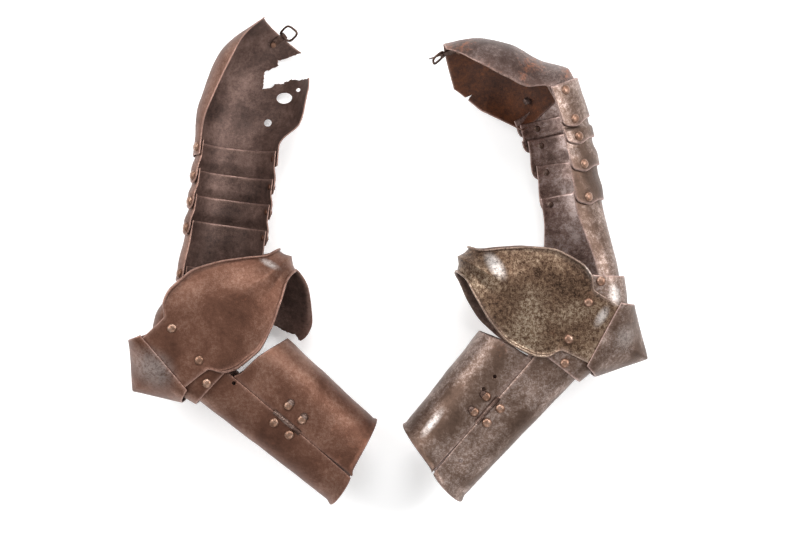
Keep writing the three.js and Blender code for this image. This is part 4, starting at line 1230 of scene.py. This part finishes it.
class HARNESS_OT_fittings(bpy.types.Operator):
    """The hinges and buckles keep their solids and take dark iron"""
    bl_idname = "harness.fittings"
    bl_label = "Hinges and buckles"

    def execute(self, context):
        for name in frame["nodes"]:
            made = bpy.data.objects[name]
            if not made.hide_render:
                made.data.materials.clear()
                is_rivet = "rivet" in name or "pin" in name
                made.data.materials.append(finish_of("rivet_iron" if is_rivet else "dark_iron"))
        for arm in ARMS:
            loop = wire_loop(f"{arm['side']}_buckle_loop")
            add_piece(arm, "buckle_wire", loop, finish_of("dark_iron"), "buckle_loop",
                      "buckle_loop")
            for front, half, body in ((False, "back", "lower_cannon"),
                                      (True, "front", "lower_cannon_front")):
                heads = [dome(top, direction, seed=70 + number, height=HEAD_HEIGHT * 1.25)
                         for number, (top, direction) in enumerate(leaf_rivets(arm, front))]
                add_piece(arm, f"hinge_rivets_{half}", merge(heads), finish_of("rivet_iron"),
                          body, place=arm["frames"][body])
        return {"FINISHED"}


CAMERA_HEIGHT = 2.4
VIEW_WIDTH = 0.84
VIEW_FROM_ELBOW = (0.2063, 0.0955)
TABLE_HALF = 4.0
TABLE_DROP = 0.0002
TABLE_GLOW = 0.28
SKY_STRENGTH = 0.5
LAMP_TABLE = (
    # name, place, size, power
    ("left_light", (-1.4, 0.6, 1.4), 1.1, 23),
    ("right_light", (1.5, 0.5, 1.3), 0.9, 22),
    ("top_light", (0.1, 1.7, 1.5), 1.1, 26),
    ("low_light", (0.2, -1.5, 1.3), 1.3, 9),
)


class HARNESS_OT_stage(bpy.types.Operator):
    """A pale table, soft lamps and a camera that looks straight down"""
    bl_idname = "harness.stage"
    bl_label = "Stage"

    def execute(self, context):
        scene = context.scene
        scene.view_settings.view_transform = "Standard"
        self.table(scene)
        for lamp in LAMP_TABLE:
            self.lamp(scene, *lamp)
        world = bpy.data.worlds.new("studio")
        world.use_nodes = True
        sky = world.node_tree.nodes["Background"].inputs
        sky["Color"].default_value = (1, 1, 1, 1)
        sky["Strength"].default_value = SKY_STRENGTH
        scene.world = world
        view = bpy.data.cameras.new("view")
        view.lens = view.sensor_width * CAMERA_HEIGHT / VIEW_WIDTH
        camera = bpy.data.objects.new("view", view)
        elbow = JOINT_SPOTS["left_lower_elbow_lame_turn"] * MM
        middle = (elbow[0] + VIEW_FROM_ELBOW[0], elbow[1] + VIEW_FROM_ELBOW[1])
        camera.location = (*middle, CAMERA_HEIGHT + (CAD_LOW.z + CAD_HIGH.z) / 2)
        scene.collection.objects.link(camera)
        scene.camera = camera
        return {"FINISHED"}

    def table(self, scene):
        """A flat square that ends far outside the view."""
        mesh = bpy.data.meshes.new("table")
        corners = [(x * TABLE_HALF, y * TABLE_HALF, CAD_LOW.z - TABLE_DROP)
                   for x, y in ((-1, -1), (1, -1), (1, 1), (-1, 1))]
        mesh.from_pydata(corners, [], [(0, 1, 2, 3)])
        made = bpy.data.objects.new("table", mesh)
        scene.collection.objects.link(made)
        material, _, shader, _ = new_material("table_paper")
        shader.inputs["Base Color"].default_value = (*scene.harness_colours.floor, 1)
        shader.inputs["Roughness"].default_value = 0.9
        shader.inputs["Specular IOR Level"].default_value = 0.1
        shader.inputs["Emission Color"].default_value = (1, 1, 1, 1)
        shader.inputs["Emission Strength"].default_value = TABLE_GLOW
        made.data.materials.append(material)

    def lamp(self, scene, name, place, size, power):
        data = bpy.data.lights.new(name, "AREA")
        data.size, data.energy = size, power
        made = bpy.data.objects.new(name, data)
        made.location = place
        made.rotation_euler = (-Vector(place)).to_track_quat("-Z", "Y").to_euler()
        scene.collection.objects.link(made)


OPERATORS = (HARNESS_OT_stage, HARNESS_OT_couters, HARNESS_OT_elbow_lames, HARNESS_OT_upper_arms,
             HARNESS_OT_lower_cannons, HARNESS_OT_rivets, HARNESS_OT_fittings)


class HARNESS_PT_panel(bpy.types.Panel):
    """Lists the groups of pieces and the settings"""
    bl_idname = "HARNESS_PT_panel"
    bl_label = "Plate arm harness"
    bl_space_type = "VIEW_3D"
    bl_region_type = "UI"
    bl_category = "Armour"

    def draw(self, context):
        for operator in OPERATORS:
            self.layout.operator(operator.bl_idname)
        for name in ("cell", "dents", "rim_bead", "rivet_faces"):
            self.layout.prop(context.scene.harness_sizes, name)
        self.layout.prop(context.scene.harness_colours, "floor")


CLASSES = (HarnessSizes, HarnessColours, *OPERATORS, HARNESS_PT_panel)


def register():
    for each in CLASSES:
        bpy.utils.register_class(each)
    bpy.types.Scene.harness_sizes = PointerProperty(type=HarnessSizes)
    bpy.types.Scene.harness_colours = PointerProperty(type=HarnessColours)


def unregister():
    del bpy.types.Scene.harness_colours
    del bpy.types.Scene.harness_sizes
    for each in reversed(CLASSES):
        bpy.utils.unregister_class(each)


def main():
    register()
    build = bpy.ops.harness
    build.stage()
    build.couters()
    build.elbow_lames()
    build.upper_arms()
    build.lower_cannons()
    build.rivets()
    build.fittings()


if __name__ == "__main__":
    main()
